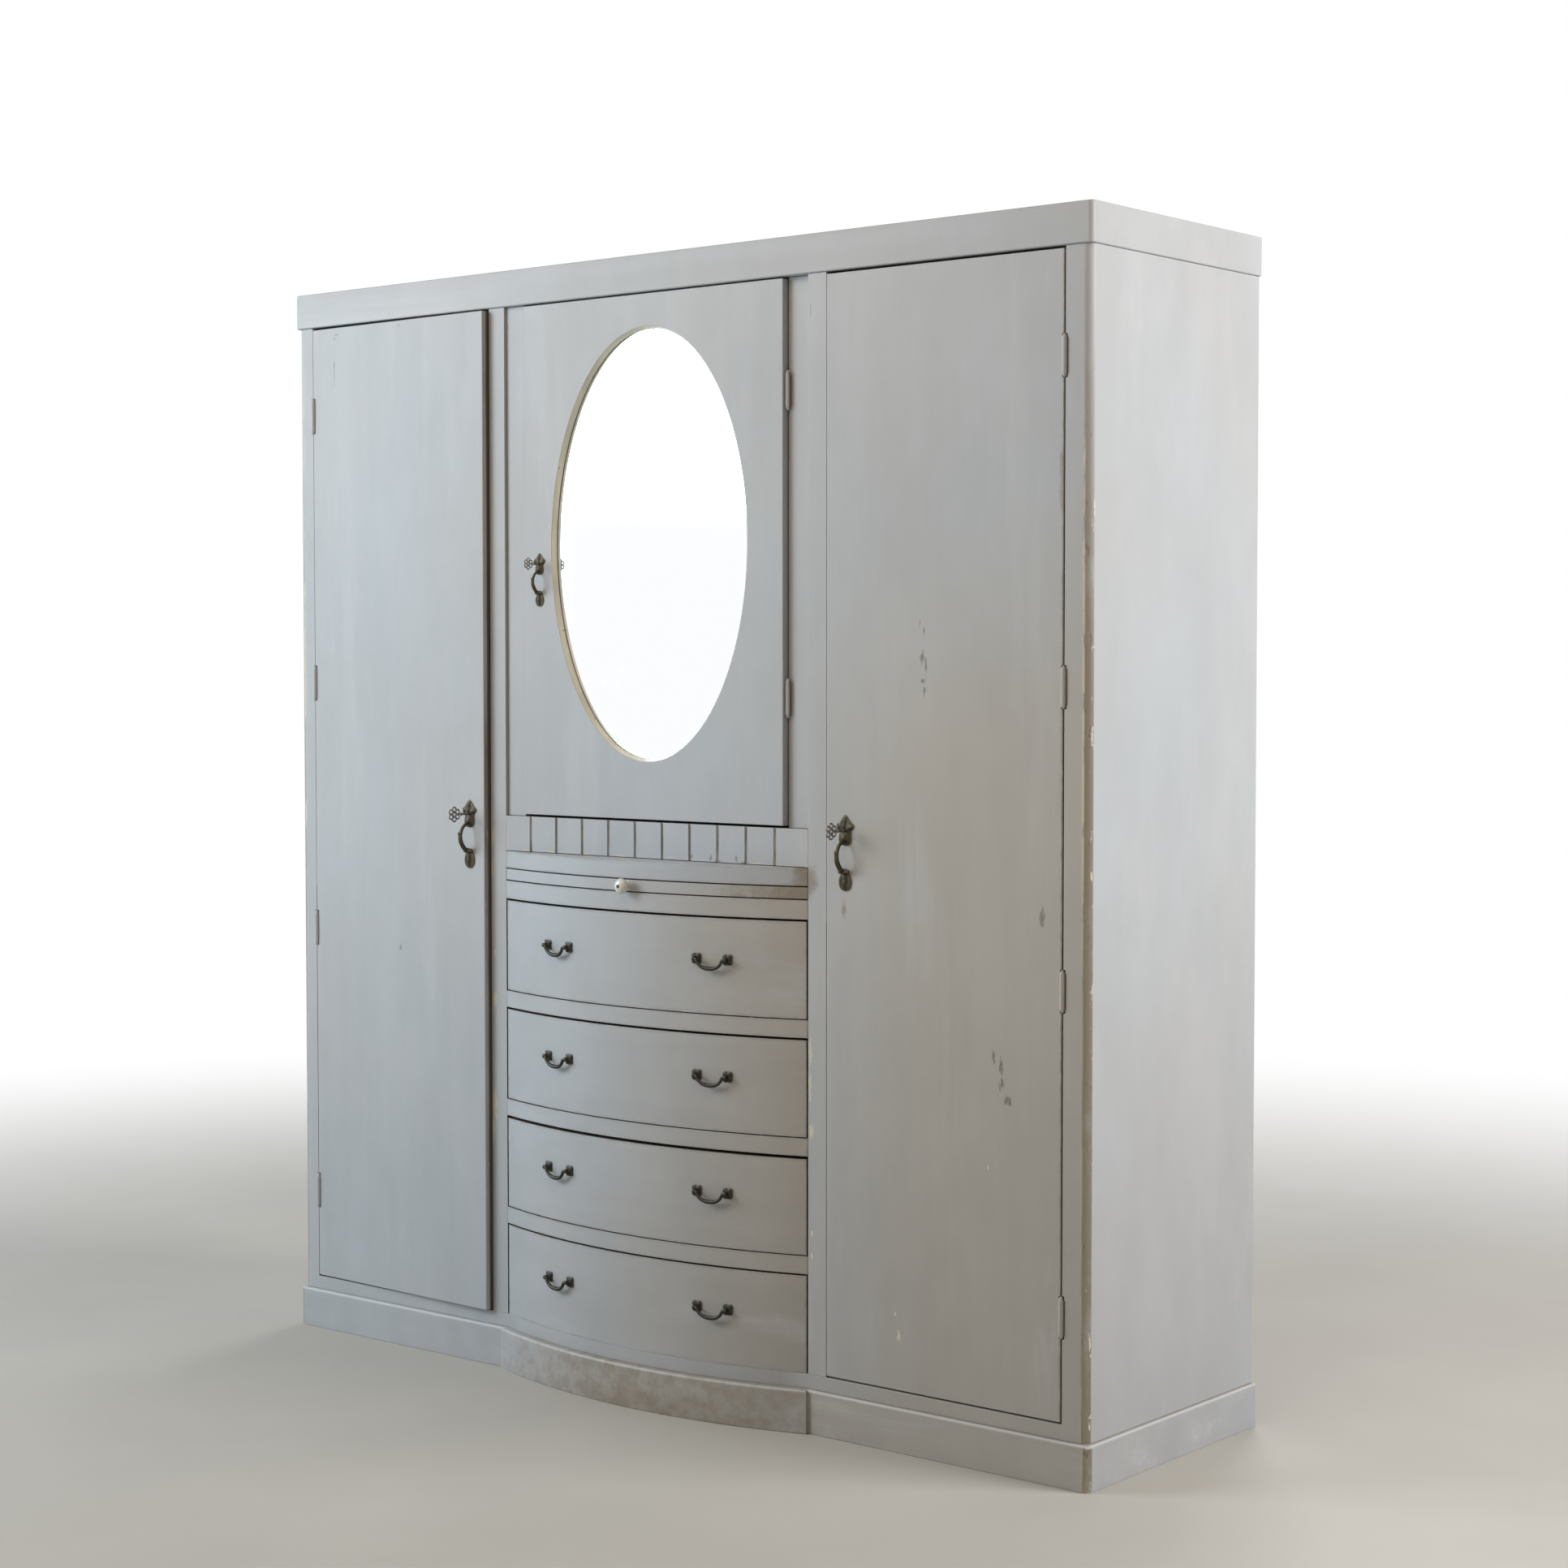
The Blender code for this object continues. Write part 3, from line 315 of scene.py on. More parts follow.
class Tree:
    """Adds and links the nodes of a material or a world with short calls."""

    def __init__(self, owner):
        owner.use_nodes = True
        self.nodes = owner.node_tree.nodes
        self.links = owner.node_tree.links

    def feed(self, socket, value):
        """Links a socket, or sets it to a number, vector or colour."""
        if isinstance(value, bpy.types.NodeSocket):
            self.links.new(value, socket)
        elif socket.type == "RGBA":
            socket.default_value = (*value[:3], 1.0)
        else:
            socket.default_value = value

    def add(self, kind, inputs=None, **settings):
        made = self.nodes.new(kind)
        for key, value in settings.items():
            setattr(made, key, value)
        for key, value in (inputs or {}).items():
            self.feed(made.inputs[key], value)
        return made

    def maths(self, operation, first, second=0.0):
        return self.add("ShaderNodeMath", {0: first, 1: second}, operation=operation).outputs[0]

    def seen(self):
        """One for rays from the camera, straight or by way of a reflection or glass."""
        rays = self.add("ShaderNodeLightPath").outputs
        share = rays["Is Camera Ray"]
        for kind in ("Is Glossy Ray", "Is Transmission Ray"):
            share = self.maths("MAXIMUM", share, rays[kind])
        return share

    def surface(self, output, share, first, second):
        """Shows a mix of two shaders."""
        mixed = self.add("ShaderNodeMixShader", {0: share, 1: first.outputs[0], 2: second.outputs[0]})
        self.links.new(mixed.outputs[0], self.nodes[output].inputs["Surface"])


class Finish(Tree):
    """Builds one material."""

    def __init__(self, name):
        self.material = bpy.data.materials.new(name)
        super().__init__(self.material)
        self.shader = self.nodes["Principled BSDF"]
        self.place = self.add("ShaderNodeTexCoord").outputs["Object"]
        self.normal = self.add("ShaderNodeNewGeometry").outputs["Normal"]

    def times(self, first, *others):
        for other in others:
            first = self.maths("MULTIPLY", first, other)
        return first

    def vector(self, operation, first, second=STILL):
        made = self.add("ShaderNodeVectorMath", {0: first, 1: second}, operation=operation)
        return made.outputs["Value" if operation in ("LENGTH", "DOT_PRODUCT") else "Vector"]

    def parts(self, vector):
        return self.add("ShaderNodeSeparateXYZ", {0: vector}).outputs

    def noise(self, stretch, scale=1.0, detail=3.0, rough=0.55):
        """Cloudy noise, stretched by a factor along each axis."""
        where = self.vector("MULTIPLY", self.place, stretch)
        inputs = {"Vector": where, "Scale": scale, "Detail": detail, "Roughness": rough}
        return self.add("ShaderNodeTexNoise", inputs).outputs["Fac"]

    def ramp(self, value, start, end, first=0.0, last=1.0):
        """Goes smoothly from one number to another as a value passes from start to end."""
        inputs = {"Value": value, "From Min": start, "From Max": end, "To Min": first, "To Max": last}
        return self.add("ShaderNodeMapRange", inputs, interpolation_type="SMOOTHSTEP").outputs["Result"]

    def blend(self, share, first, second):
        return self.add("ShaderNodeMix", {0: share, 6: first, 7: second}, data_type="RGBA").outputs[2]

    def lighten(self, colour, value):
        return self.add("ShaderNodeHueSaturation", {"Color": colour, "Value": value}).outputs["Color"]

    def edges(self, reach):
        """One near the outer edges of a board, falling to nought over a reach on its faces."""
        rounded = self.add("ShaderNodeBevel", {"Radius": reach}, samples=4).outputs["Normal"]
        beside = self.ramp(self.vector("DOT_PRODUCT", rounded, self.normal), 0.998, 0.86)
        return self.maths("MAXIMUM", beside, self.ridges())

    def ridges(self):
        """One where the surface turns between two of the piece's own axes."""
        turned = self.add(
            "ShaderNodeVectorTransform", {0: self.normal},
            vector_type="NORMAL", convert_from="WORLD", convert_to="OBJECT",
        ).outputs[0]
        parts = self.parts(self.vector("ABSOLUTE", turned))
        most = self.maths("MINIMUM", parts[0], parts[1])
        for other in parts[:2]:
            most = self.maths("MAXIMUM", most, self.maths("MINIMUM", other, parts[2]))
        return self.ramp(most, 0.38, 0.62)

    def spots(self, marks, soft, ragged):
        """One on each mark, (x, z, half width, half height) on the front, fading over a soft share of it."""
        found = None
        for x, z, half_width, half_height in marks:
            away = self.vector("SUBTRACT", self.place, (x, 0.0, z))
            away = self.vector("MULTIPLY", away, (1 / half_width, 0.0, 1 / half_height))
            spot = self.ramp(self.maths("ADD", self.vector("LENGTH", away), ragged), 1.0, 1.0 - soft)
            found = spot if found is None else self.maths("MAXIMUM", found, spot)
        return found

    def complete(self, colour, rough, height=None, relief=0.0, metal=0.0):
        """Sets the colour, sheen and fine relief of the surface, and gives its material."""
        if height is not None:
            bump = self.add("ShaderNodeBump", {"Height": height, "Distance": relief})
            self.feed(self.shader.inputs["Normal"], bump.outputs["Normal"])
        for key, value in {"Base Color": colour, "Roughness": rough, "Metallic": metal}.items():
            self.feed(self.shader.inputs[key], value)
        return self.material


def made_once(make):
    """Makes the finish of a name at its first call and gives the same one again after that."""

    def given(name, *values, **options):
        return bpy.data.materials.get(name) or make(name, *values, **options)

    return given


def toned(colour, factor):
    return [factor * part for part in colour]


# Marks on the doors, the chest and the glass, some of them painted shade: x, z, half width, half height
SCUFFS = {
    "paint_right_door": (
        (0.5722, 1.333, 0.0020, 0.012), (0.5800, 1.318, 0.0022, 0.008), (0.5770, 1.276, 0.0050, 0.016),
        (0.5840, 1.262, 0.0030, 0.014), (0.5790, 1.238, 0.0060, 0.004), (0.5815, 1.222, 0.0030, 0.010),
        (0.8065, 0.877, 0.0060, 0.016), (0.7170, 0.654, 0.0045, 0.012), (0.7300, 0.640, 0.0050, 0.018),
        (0.7310, 0.612, 0.0070, 0.012), (0.7435, 0.589, 0.0085, 0.010),
    ),
    "paint_left_door": (
        (-0.7896, 1.872, 0.0016, 0.009), (-0.7830, 1.8795, 0.008, 0.0016), (-0.7903, 1.812, 0.0018, 0.024),
        (-0.6081, 1.884, 0.0030, 0.0026), (-0.6140, 0.742, 0.0060, 0.007),
    ),
    "paint_right_stile": ((0.3510, 1.836, 0.0014, 0.012), (0.3640, 0.905, 0.0030, 0.004)),
    "paint_frieze": (
        (0.094, 0.9390, 0.0030, 0.0060), (0.136, 0.9385, 0.0034, 0.0065), (0.150, 0.9345, 0.0100, 0.0024),
        (0.192, 0.9395, 0.0026, 0.0075), (0.210, 0.9340, 0.0140, 0.0024),
    ),
}
CHIPS = {
    "paint_right_door": (
        (0.5328, 0.188, 0.0042, 0.010), (0.5254, 0.223, 0.0028, 0.004), (0.7069, 0.480, 0.0028, 0.004),
    ),
    "paint_left_stile": (
        (-0.3790, 0.957, 0.0050, 0.020), (-0.3800, 0.900, 0.0045, 0.018), (-0.3750, 0.745, 0.0030, 0.008),
        (-0.3760, 0.662, 0.0050, 0.013), (-0.3780, 0.474, 0.0070, 0.035), (-0.3810, 0.430, 0.0040, 0.030),
    ),
    "paint_right_stile": (
        (0.3505, 0.630, 0.0040, 0.026), (0.3500, 0.575, 0.0030, 0.030), (0.3530, 0.500, 0.0050, 0.014),
        (0.3540, 0.330, 0.0028, 0.006), (0.3530, 0.296, 0.0028, 0.007),
    ),
    "paint_frieze": (
        (-0.296, 0.9345, 0.016, 0.0024), (-0.236, 0.9342, 0.020, 0.0028), (-0.150, 0.9338, 0.016, 0.0020),
        (0.236, 0.9345, 0.012, 0.0024), (-0.070, 0.9338, 0.012, 0.0018),
    ),
}
STAINS_AND_SHADE = {
    "paint_chest_top": ((0.3440, 0.914, 0.0380, 0.060),),
    "paint_right_stile": ((0.3480, 0.9100, 0.0240, 0.040),),
    # the wide mark on the slide is painted shadow under the chest top's edge; the small one at its end is a
    # stain
    "paint_slide": ((0.3440, 0.890, 0.0340, 0.060), (0.3600, 0.890, 0.2200, 0.090)),
    # darkens the middle of the plinth's bow
    "paint_plinth": ((0.0000, -0.150, 0.5000, 0.350),),
    # the long strip along the hinge edge is painted shade
    "paint_right_door": (
        (0.4208, 0.868, 0.0075, 0.018), (0.8430, 1.545, 0.0090, 0.110), (0.8440, 0.80, 0.0055, 4.0),
    ),
}
FLECKS = (
    (-0.1177, 1.234, 0.006, 0.006), (-0.0941, 1.250, 0.006, 0.002), (-0.0788, 1.255, 0.005, 0.005),
    (-0.0468, 1.233, 0.004, 0.005), (-0.0846, 1.233, 0.003, 0.004), (-0.0850, 1.135, 0.007, 0.008),
    (0.1058, 1.169, 0.006, 0.006), (-0.0031, 1.109, 0.003, 0.012), (0.0012, 1.836, 0.007, 0.004),
    (0.0154, 1.824, 0.003, 0.010), (0.0459, 1.808, 0.003, 0.005), (-0.1908, 1.626, 0.003, 0.004),
)


@made_once
def paint(name, brush, wear=1.0, corner=False, streak=1.0, darker_edges=False, rub_and_highlight=0.45, shade_widths=SHADE_RIGHT):
    """Brushed grey paint over a cream undercoat, chipped along its edges, with its own scuffs and stains,
    painted shade low down and a painted highlight on its rounded edges.
    """
    settings = bpy.context.scene.cupboard_paint
    finish = Finish(name)
    place = finish.parts(finish.place)
    streaks = finish.noise(toned(brush, 0.6), 1.0, 6.0, 0.68)
    bristles = finish.noise(toned(brush, 9.0))
    crumble = finish.noise([rate**0.5 for rate in brush], 14.0, 5.0, 0.72)
    ragged = finish.ramp(finish.noise((1.0, 1.0, 0.3), 260.0, 4.0, 0.7), 0.25, 0.75, -0.6, 0.6)
    edges = finish.edges(WEAR_REACH)
    colour = grey_with_painted_shade(finish, settings, place, corner, shade_widths)
    colour = brush_marks(finish, settings, colour, brush, streaks, streak)
    # painted highlight, with some wear: the rounded edges lightened towards the pale grey
    colour = finish.blend(finish.times(edges, rub_and_highlight), colour, settings.rubbed_and_lit)
    # darker brown paint near the edges of the drawers, rails and chest top
    if darker_edges:
        edge_darkening = finish.times(finish.edges(DARK_EDGE_REACH), finish.ramp(crumble, 0.40, 0.62, 0.10, 0.55))
        colour = finish.blend(edge_darkening, colour, toned(settings.corner, 0.45))
    if corner:
        colour = worn_corner(finish, settings, colour, place)
    worn = finish.times(finish.maths("ADD", crumble, finish.noise(EVEN, 2.6, 2.0)), 0.9)
    worn = finish.maths("ADD", worn, finish.times(edges, 0.75))
    limit = CHIP_LIMIT - settings.wear * wear
    chipped = finish.ramp(worn, limit, limit + 0.05)
    bare = finish.ramp(worn, limit + 0.14, limit + 0.22)
    if name in CHIPS:
        chipped = finish.maths("MAXIMUM", chipped, finish.spots(CHIPS[name], 0.3, ragged))
    colour = finish.blend(finish.times(chipped, 0.85), colour, settings.undercoat)
    colour = finish.blend(bare, colour, settings.timber)
    if name in SCUFFS:
        share = finish.times(finish.spots(SCUFFS[name], 0.8, ragged), 0.62)
        colour = finish.blend(share, colour, settings.grime)
    # stains, and painted shade where a mark stands for shade
    if name in STAINS_AND_SHADE:
        cloudy = finish.ramp(finish.noise(EVEN, 45.0, 4.0, 0.65), 0.3, 0.7, -0.2, 0.2)
        share = finish.times(finish.spots(STAINS_AND_SHADE[name], 0.9, cloudy), 0.68)
        colour = finish.blend(share, colour, settings.timber)
    rough = finish.maths("ADD", finish.ramp(streaks, 0.3, 0.7, 0.46, 0.58), finish.times(chipped, 0.2))
    height = finish.maths("SUBTRACT", finish.times(bristles, 0.4), chipped)
    return finish.complete(colour, rough, height, BRUSH_RELIEF)


def grey_with_painted_shade(finish, settings, place, corner, shade_widths):
    """Clouds of cool and warm grey, with painted shade: warmer and darker low down at the right, and darker
    towards the floor.
    """
    cloud = finish.ramp(finish.noise((1.0, 1.0, 0.7), 1.9, 4.0, 0.6), 0.36, 0.64)
    colour = finish.blend(cloud, settings.cool, settings.warm)
    share = finish.times(finish.ramp(place["X"], *shade_widths), finish.ramp(place["Z"], *SHADE_LOW))
    if corner:
        # the painted shade is kept off the faces that look sideways
        aside = finish.parts(finish.vector("ABSOLUTE", finish.normal))["X"]
        share = finish.times(share, finish.ramp(aside, 0.9, 0.4))
    colour = finish.blend(share, colour, settings.shaded_grey)
    foot = finish.ramp(place["X"], *FOOT_SHADE_RIGHT, 0.5 + 0.5 * settings.foot_shade, settings.foot_shade)
    return finish.lighten(colour, finish.ramp(place["Z"], *FOOT_SHADE_LOW, 1.0, foot))


def brush_marks(finish, settings, colour, brush, streaks, streak):
    """Streaks and blotches of lighter and darker paint, with pale wisps worn along the brush."""
    strength = settings.streak * streak
    blotches = finish.noise((1.0, 1.0, 0.6), 7.0, 4.0, 0.6)
    for marks, start, end in ((streaks, 0.25, 0.75), (blotches, 0.3, 0.7)):
        colour = finish.lighten(colour, finish.ramp(marks, start, end, 1 - strength, 1 + strength))
    wisps = finish.noise([0.35 * rate**0.8 for rate in brush], 1.6, 5.0, 0.62)
    return finish.blend(finish.ramp(wisps, 0.56, 0.76, 0.0, 0.6 * streak), colour, settings.rubbed_and_lit)


def worn_corner(finish, settings, colour, place):
    """The rounded front corner: brownish thin paint with a broken cream line where it begins to turn."""
    looks = finish.parts(finish.vector("ABSOLUTE", finish.normal))
    turned = looks["X"]
    outside = finish.ramp(finish.maths("ABSOLUTE", place["X"]), *POST_WIDTHS)
    upright = finish.times(outside, finish.ramp(looks["Z"], 0.25, 0.05))
    handled = finish.times(finish.ramp(place["Z"], *HANDLED_LOW, 0.10, 1.0), upright)
    uneven = finish.ramp(finish.noise((9.0, 9.0, 6.0), 1.0, 5.0, 0.7), 0.30, 0.52, 0.45, 1.0)
    band = finish.times(finish.ramp(turned, 0.10, 0.30), finish.ramp(turned, 0.998, 0.96), handled, uneven)
    band = finish.times(band, finish.ramp(place["Z"], *BROWNED_LOW, 0.45, 1.0))
    broken = finish.ramp(finish.noise((60.0, 60.0, 9.0), 1.0, 6.0, 0.75), 0.47, 0.53)
    line = finish.times(finish.ramp(turned, 0.01, 0.06), finish.ramp(turned, 0.34, 0.22), broken, handled)
    line = finish.times(line, finish.ramp(place["Z"], *CREAM_HIGH, 0.2, 1.0))
    flakes = finish.ramp(finish.noise((90.0, 90.0, 22.0), 1.0, 5.0, 0.75), 0.60, 0.65)
    flakes = finish.times(flakes, finish.ramp(turned, 0.2, 0.3), band)
    chips = finish.ramp(finish.noise((70.0, 70.0, 20.0), 1.0, 4.0, 0.7), 0.60, 0.64)
    chips = finish.times(chips, finish.ramp(turned, 0.998, 0.98), handled, finish.ramp(turned, 0.80, 0.90))
    # painted shade: the corner's band darker where it turns to the side
    shade = finish.blend(finish.ramp(turned, 0.5, 0.95), settings.corner, toned(settings.corner, 0.65))
    colour = finish.blend(finish.times(band, 0.9), colour, shade)
    colour = finish.blend(finish.times(flakes, 0.9), colour, toned(settings.timber, 0.5))
    pale = finish.times(finish.maths("MAXIMUM", line, chips), 0.9)
    return finish.blend(pale, colour, toned(settings.undercoat, 1.1))


@made_once
def rubbed_edge(name):
    """Paint worn thin to the brown wood along the closing edges of the doors, its grey a little lightened as
    painted light, and dark with painted shade deep in the gap.
    """
    settings = bpy.context.scene.cupboard_paint
    finish = Finish(name)
    thin = finish.ramp(finish.noise((40.0, 40.0, 3.0), 1.0, 5.0, 0.65), 0.38, 0.74, 0.1, 0.8)
    # painted light: the grey a little lighter than the doors' paint
    colour = finish.blend(thin, toned(settings.warm, 1.1), settings.timber)
    specks = finish.ramp(finish.noise((60.0, 60.0, 16.0), 1.0, 4.0, 0.7), 0.62, 0.70)
    colour = finish.blend(specks, colour, settings.undercoat)
    # painted shade: darker the further the edge goes into the gap
    deep = finish.ramp(finish.parts(finish.place)["Y"], *EDGE_SHADE, 0.0, 0.92)
    colour = finish.blend(deep, colour, settings.grime)
    return finish.complete(colour, 0.6, thin, COARSE_RELIEF)


@made_once
def dark_mottled(name, darkening):
    """Dark mottled colour: soiling and painted shade in the gaps and where the mirror's rim meets the glass,
    darker paint in the flutes, and the knob's near black screw.
    """
    finish = Finish(name)
    patch = finish.ramp(finish.noise((30.0, 30.0, 12.0), 1.0, 4.0, 0.65), 0.34, 0.70)
    return finish.complete(finish.blend(patch, darkening, toned(darkening, 2.2)), 0.75, patch, COARSE_RELIEF)


# Soiling and painted shade on the faces deep in the gaps
def gap_grime():
    return dark_mottled("gap_grime", bpy.context.scene.cupboard_paint.grime)


@made_once
def gilt_rim(name):
    """Cream and gilt wall of the mirror's oval, rubbed and flecked."""
    rim = bpy.context.scene.cupboard_fittings.rim
    finish = Finish(name)
    cloud = finish.ramp(finish.noise((9.0, 30.0, 9.0), 1.0, 4.0, 0.6), 0.35, 0.68)
    colour = finish.blend(cloud, toned(rim, 1.15), toned(rim, 0.9))
    specks = finish.ramp(finish.noise((60.0, 60.0, 60.0), 1.0, 3.0, 0.7), 0.64, 0.72)
    return finish.complete(finish.blend(specks, colour, toned(rim, 0.4)), 0.42, cloud, COARSE_RELIEF)


@made_once
def timber(name, grain, gap_depth=0.0):
    """Bare softwood with its grain along one axis, dark near the front with soiling and painted shade as far
    as the front's gaps let it in.
    """
    settings = bpy.context.scene.cupboard_timber
    coats = bpy.context.scene.cupboard_paint
    finish = Finish(name)
    figure = finish.noise([0.7 if rate < 10 else 9.0 for rate in grain], 1.0, 2.0, 0.45)
    rings = finish.maths("SINE", finish.times(figure, 60.0))
    fibres = finish.noise(toned(grain, 7.0), 1.0, 3.0, 0.6)
    share = finish.ramp(rings, -0.5, 1.0, 0.0, 0.42)
    share = finish.maths("ADD", share, finish.ramp(fibres, 0.35, 0.75, 0.0, 0.55))
    colour = finish.blend(share, settings.pale, settings.dark)
    colour = finish.lighten(colour, finish.ramp(finish.noise(EVEN, 2.3, 3.0), 0.3, 0.7, 0.82, 1.16))
    if gap_depth:
        place = finish.parts(finish.place)
        # soiling and painted shade: darker towards the front, where the gaps show this wood
        darkening = finish.ramp(place["Y"], FRONT + gap_depth, FRONT + gap_depth * 0.7)
        colour = finish.blend(darkening, colour, coats.grime)
        lip = finish.ramp(place["Y"], *LIP_DEPTHS)
        lip = finish.times(lip, finish.ramp(place["Z"], *LIP_HEIGHTS))
        colour = finish.blend(lip, colour, coats.warm)
    return finish.complete(colour, finish.ramp(fibres, 0.3, 0.7, 0.62, 0.78), fibres, COARSE_RELIEF)


@made_once
def bronze(name, dark, bright):
    """Dark bronze, brighter where it is raised, worn bright and with a painted highlight, and a dull patina
    in its hollows.
    """
    finish = Finish(name)
    # worn metal and a painted highlight on the raised parts
    raised = finish.ramp(finish.add("ShaderNodeNewGeometry").outputs["Pointiness"], 0.505, 0.60)
    patina = finish.noise(EVEN, 260.0, 4.0, 0.65)
    colour = finish.blend(finish.times(raised, finish.ramp(patina, 0.25, 0.6, 0.35, 1.0)), dark, bright)
    colour = finish.blend(finish.ramp(patina, 0.54, 0.70, 0.0, 0.55), colour, toned(dark, 1.6))
    rough = finish.ramp(patina, 0.3, 0.7, 0.34, 0.52)
    return finish.complete(colour, rough, patina, BRUSH_RELIEF, metal=0.75)


@made_once
def iron(name):
    """Old steel of the keys and nails, grey with brown specks."""
    settings = bpy.context.scene.cupboard_fittings
    finish = Finish(name)
    specks = finish.noise(EVEN, 420.0, 4.0, 0.7)
    colour = finish.blend(finish.ramp(specks, 0.52, 0.66), settings.iron, settings.rust)
    rough = finish.ramp(specks, 0.3, 0.7, 0.30, 0.55)
    return finish.complete(colour, rough, specks, 0.75 * BRUSH_RELIEF, metal=0.85)


@made_once
def porcelain(name):
    """White glaze with a faint net of fine cracks."""
    settings = bpy.context.scene.cupboard_fittings
    finish = Finish(name)
    inputs = {"Vector": finish.place, "Scale": 330.0}
    cells = finish.add("ShaderNodeTexVoronoi", inputs, feature="DISTANCE_TO_EDGE")
    crack = finish.ramp(cells.outputs["Distance"], 0.05, 0.0)
    cloud = finish.noise(EVEN, 120.0, 3.0)
    colour = finish.lighten(settings.porcelain, finish.ramp(cloud, 0.3, 0.7, 0.95, 1.03))
    colour = finish.blend(finish.times(crack, 0.16), colour, settings.crack)
    finish.shader.inputs["Coat Weight"].default_value = 0.5
    finish.shader.inputs["Coat Roughness"].default_value = 0.05
    return finish.complete(colour, finish.ramp(cloud, 0.3, 0.7, 0.10, 0.18), cloud, 0.5 * BRUSH_RELIEF)


@made_once
def mirror_glass(name, middle, half):
    """Silvered glass whose silver has gone in a few small flecks."""
    settings = bpy.context.scene.cupboard_fittings
    finish = Finish(name)
    away = finish.vector("SUBTRACT", finish.place, middle)
    out = finish.vector("LENGTH", finish.vector("MULTIPLY", away, (1 / half[0], 0.0, 1 / half[1])))
    fine = finish.noise((1.0, 1.0, 1.6), 150.0, 4.0, 0.7)
    coarse = finish.noise(EVEN, 14.0, 3.0)
    gone = finish.maths("ADD", fine, finish.times(coarse, 0.5))
    gone = finish.maths("ADD", gone, finish.ramp(out, 0.86, 0.97, 0.0, 0.08))
    ragged = finish.ramp(fine, 0.25, 0.75, -0.7, 0.7)
    flecks = finish.maths("MAXIMUM", finish.ramp(gone, 1.03, 1.07), finish.spots(FLECKS, 0.5, ragged))
    colour = finish.blend(finish.times(flecks, 0.8), settings.silver, settings.fleck)
    return finish.complete(colour, finish.maths("ADD", finish.times(flecks, 0.4), 0.02), metal=1.0)


def pale_floor(name):
    """Plain pale floor that keeps the cupboard's shadow and runs out to white far from it."""
    settings = bpy.context.scene.cupboard_stage
    finish = Finish(name)
    cloud = finish.noise(EVEN, 2.0, 3.0)
    colour = finish.lighten(settings.floor, finish.ramp(cloud, 0.3, 0.7, 0.97, 1.03))
    far = finish.ramp(finish.vector("LENGTH", finish.place), 1.6, 4.6)
    white = finish.add("ShaderNodeEmission", {"Color": WHITE, "Strength": 1.0})
    finish.surface("Material Output", finish.times(far, finish.seen()), finish.shader, white)
    return finish.complete(colour, 0.7)


def spread(first, last, steps):
    return [first + (last - first) * step / steps for step in range(steps + 1)]


def turns(sides):
    """Angles all round, in even steps."""
    return [math.tau * side / sides for side in range(sides)]


def bow_line(half, proud):
    """Plan points along the bow from left to right, standing proud of the drawer fronts."""
    radius = BOW_RADIUS + proud
    return [(x, BOW_CENTRE - math.sqrt(radius**2 - x**2)) for x in spread(-half, half, BOW_STEPS)]


def front_corner(outer, front, radius, sign):
    """Plan points round a front corner, from left to right."""
    start = 180 if sign < 0 else 270
    angles = [math.radians(angle) for angle in spread(start, start + 90, CORNER_STEPS)]
    middle = (sign * (outer - radius), front + radius)
    return [(middle[0] + radius * math.cos(a), middle[1] + radius * math.sin(a)) for a in angles]


def rounding(radius, steps):
    """Distances in and up along a quarter round, from its upright side to its flat side."""
    angles = [math.radians(angle) for angle in spread(0, 90, steps)]
    return [(radius * (1 - math.cos(a)), radius * (math.sin(a) - 1)) for a in angles]


def through(points, steps, closed=False):
    """A smooth line through points of any dimension."""
    points = [Vector(point) for point in points]
    count = len(points)
    line = []
    for index in range(count if closed else count - 1):
        near = points[index]
        far = points[(index + 1) % count]
        before = points[index - 1] if closed or index else near * 2 - far
        after = points[(index + 2) % count] if closed or index + 2 < count else far * 2 - near
        for step in range(steps):
            t = step / steps
            bend = (far - before) * t + (before * 2 - near * 5 + far * 4 - after) * t**2
            bend += (near * 3 - before - far * 3 + after) * t**3
            line.append(near + bend * 0.5)
    if not closed:
        line.append(points[-1])
    return line


def mirrored(points):
    """The same points on the other side of the middle, in the opposite order."""
    return [(-x, *others) for x, *others in reversed(points)]


def add_loft(shape, rows, around=True, along=False):
    """Joins rows of points with faces. Around closes each row, along joins the last row to the first."""
    placed = [[shape.verts.new(point) for point in row] for row in rows]
    pairs = list(zip(placed, placed[1:]))
    if along:
        pairs.append((placed[-1], placed[0]))
    strips = []
    for near, far in pairs:
        count = len(near)
        strip = []
        for index in range(count if around else count - 1):
            after = (index + 1) % count
            strip.append(shape.faces.new((near[index], near[after], far[after], far[index])))
        strips.append(strip)
    if around and not along:
        shape.faces.new(placed[0][::-1])
        shape.faces.new(placed[-1])
    if along and not around:
        shape.faces.new([row[0] for row in placed])
        shape.faces.new([row[-1] for row in placed[::-1]])
    return strips


def add_prism(shape, outline, foot, top):
    """A plan outline raised between two heights."""
    add_loft(shape, [[(x, y, z) for x, y in outline] for z in (foot, top)])


def add_box(shape, corner, far):
    outline = [(corner[0], corner[1]), (far[0], corner[1]), (far[0], far[1]), (corner[0], far[1])]
    add_prism(shape, outline, corner[2], far[2])


def add_moulding(shape, line, profile):
    """A moulding whose (inset, height) profile follows the plan line that belongs to each inset."""
    rows = [[(x, y, z) for x, y in line(inset)] for inset, z in profile]
    add_loft(shape, rows, around=False, along=True)


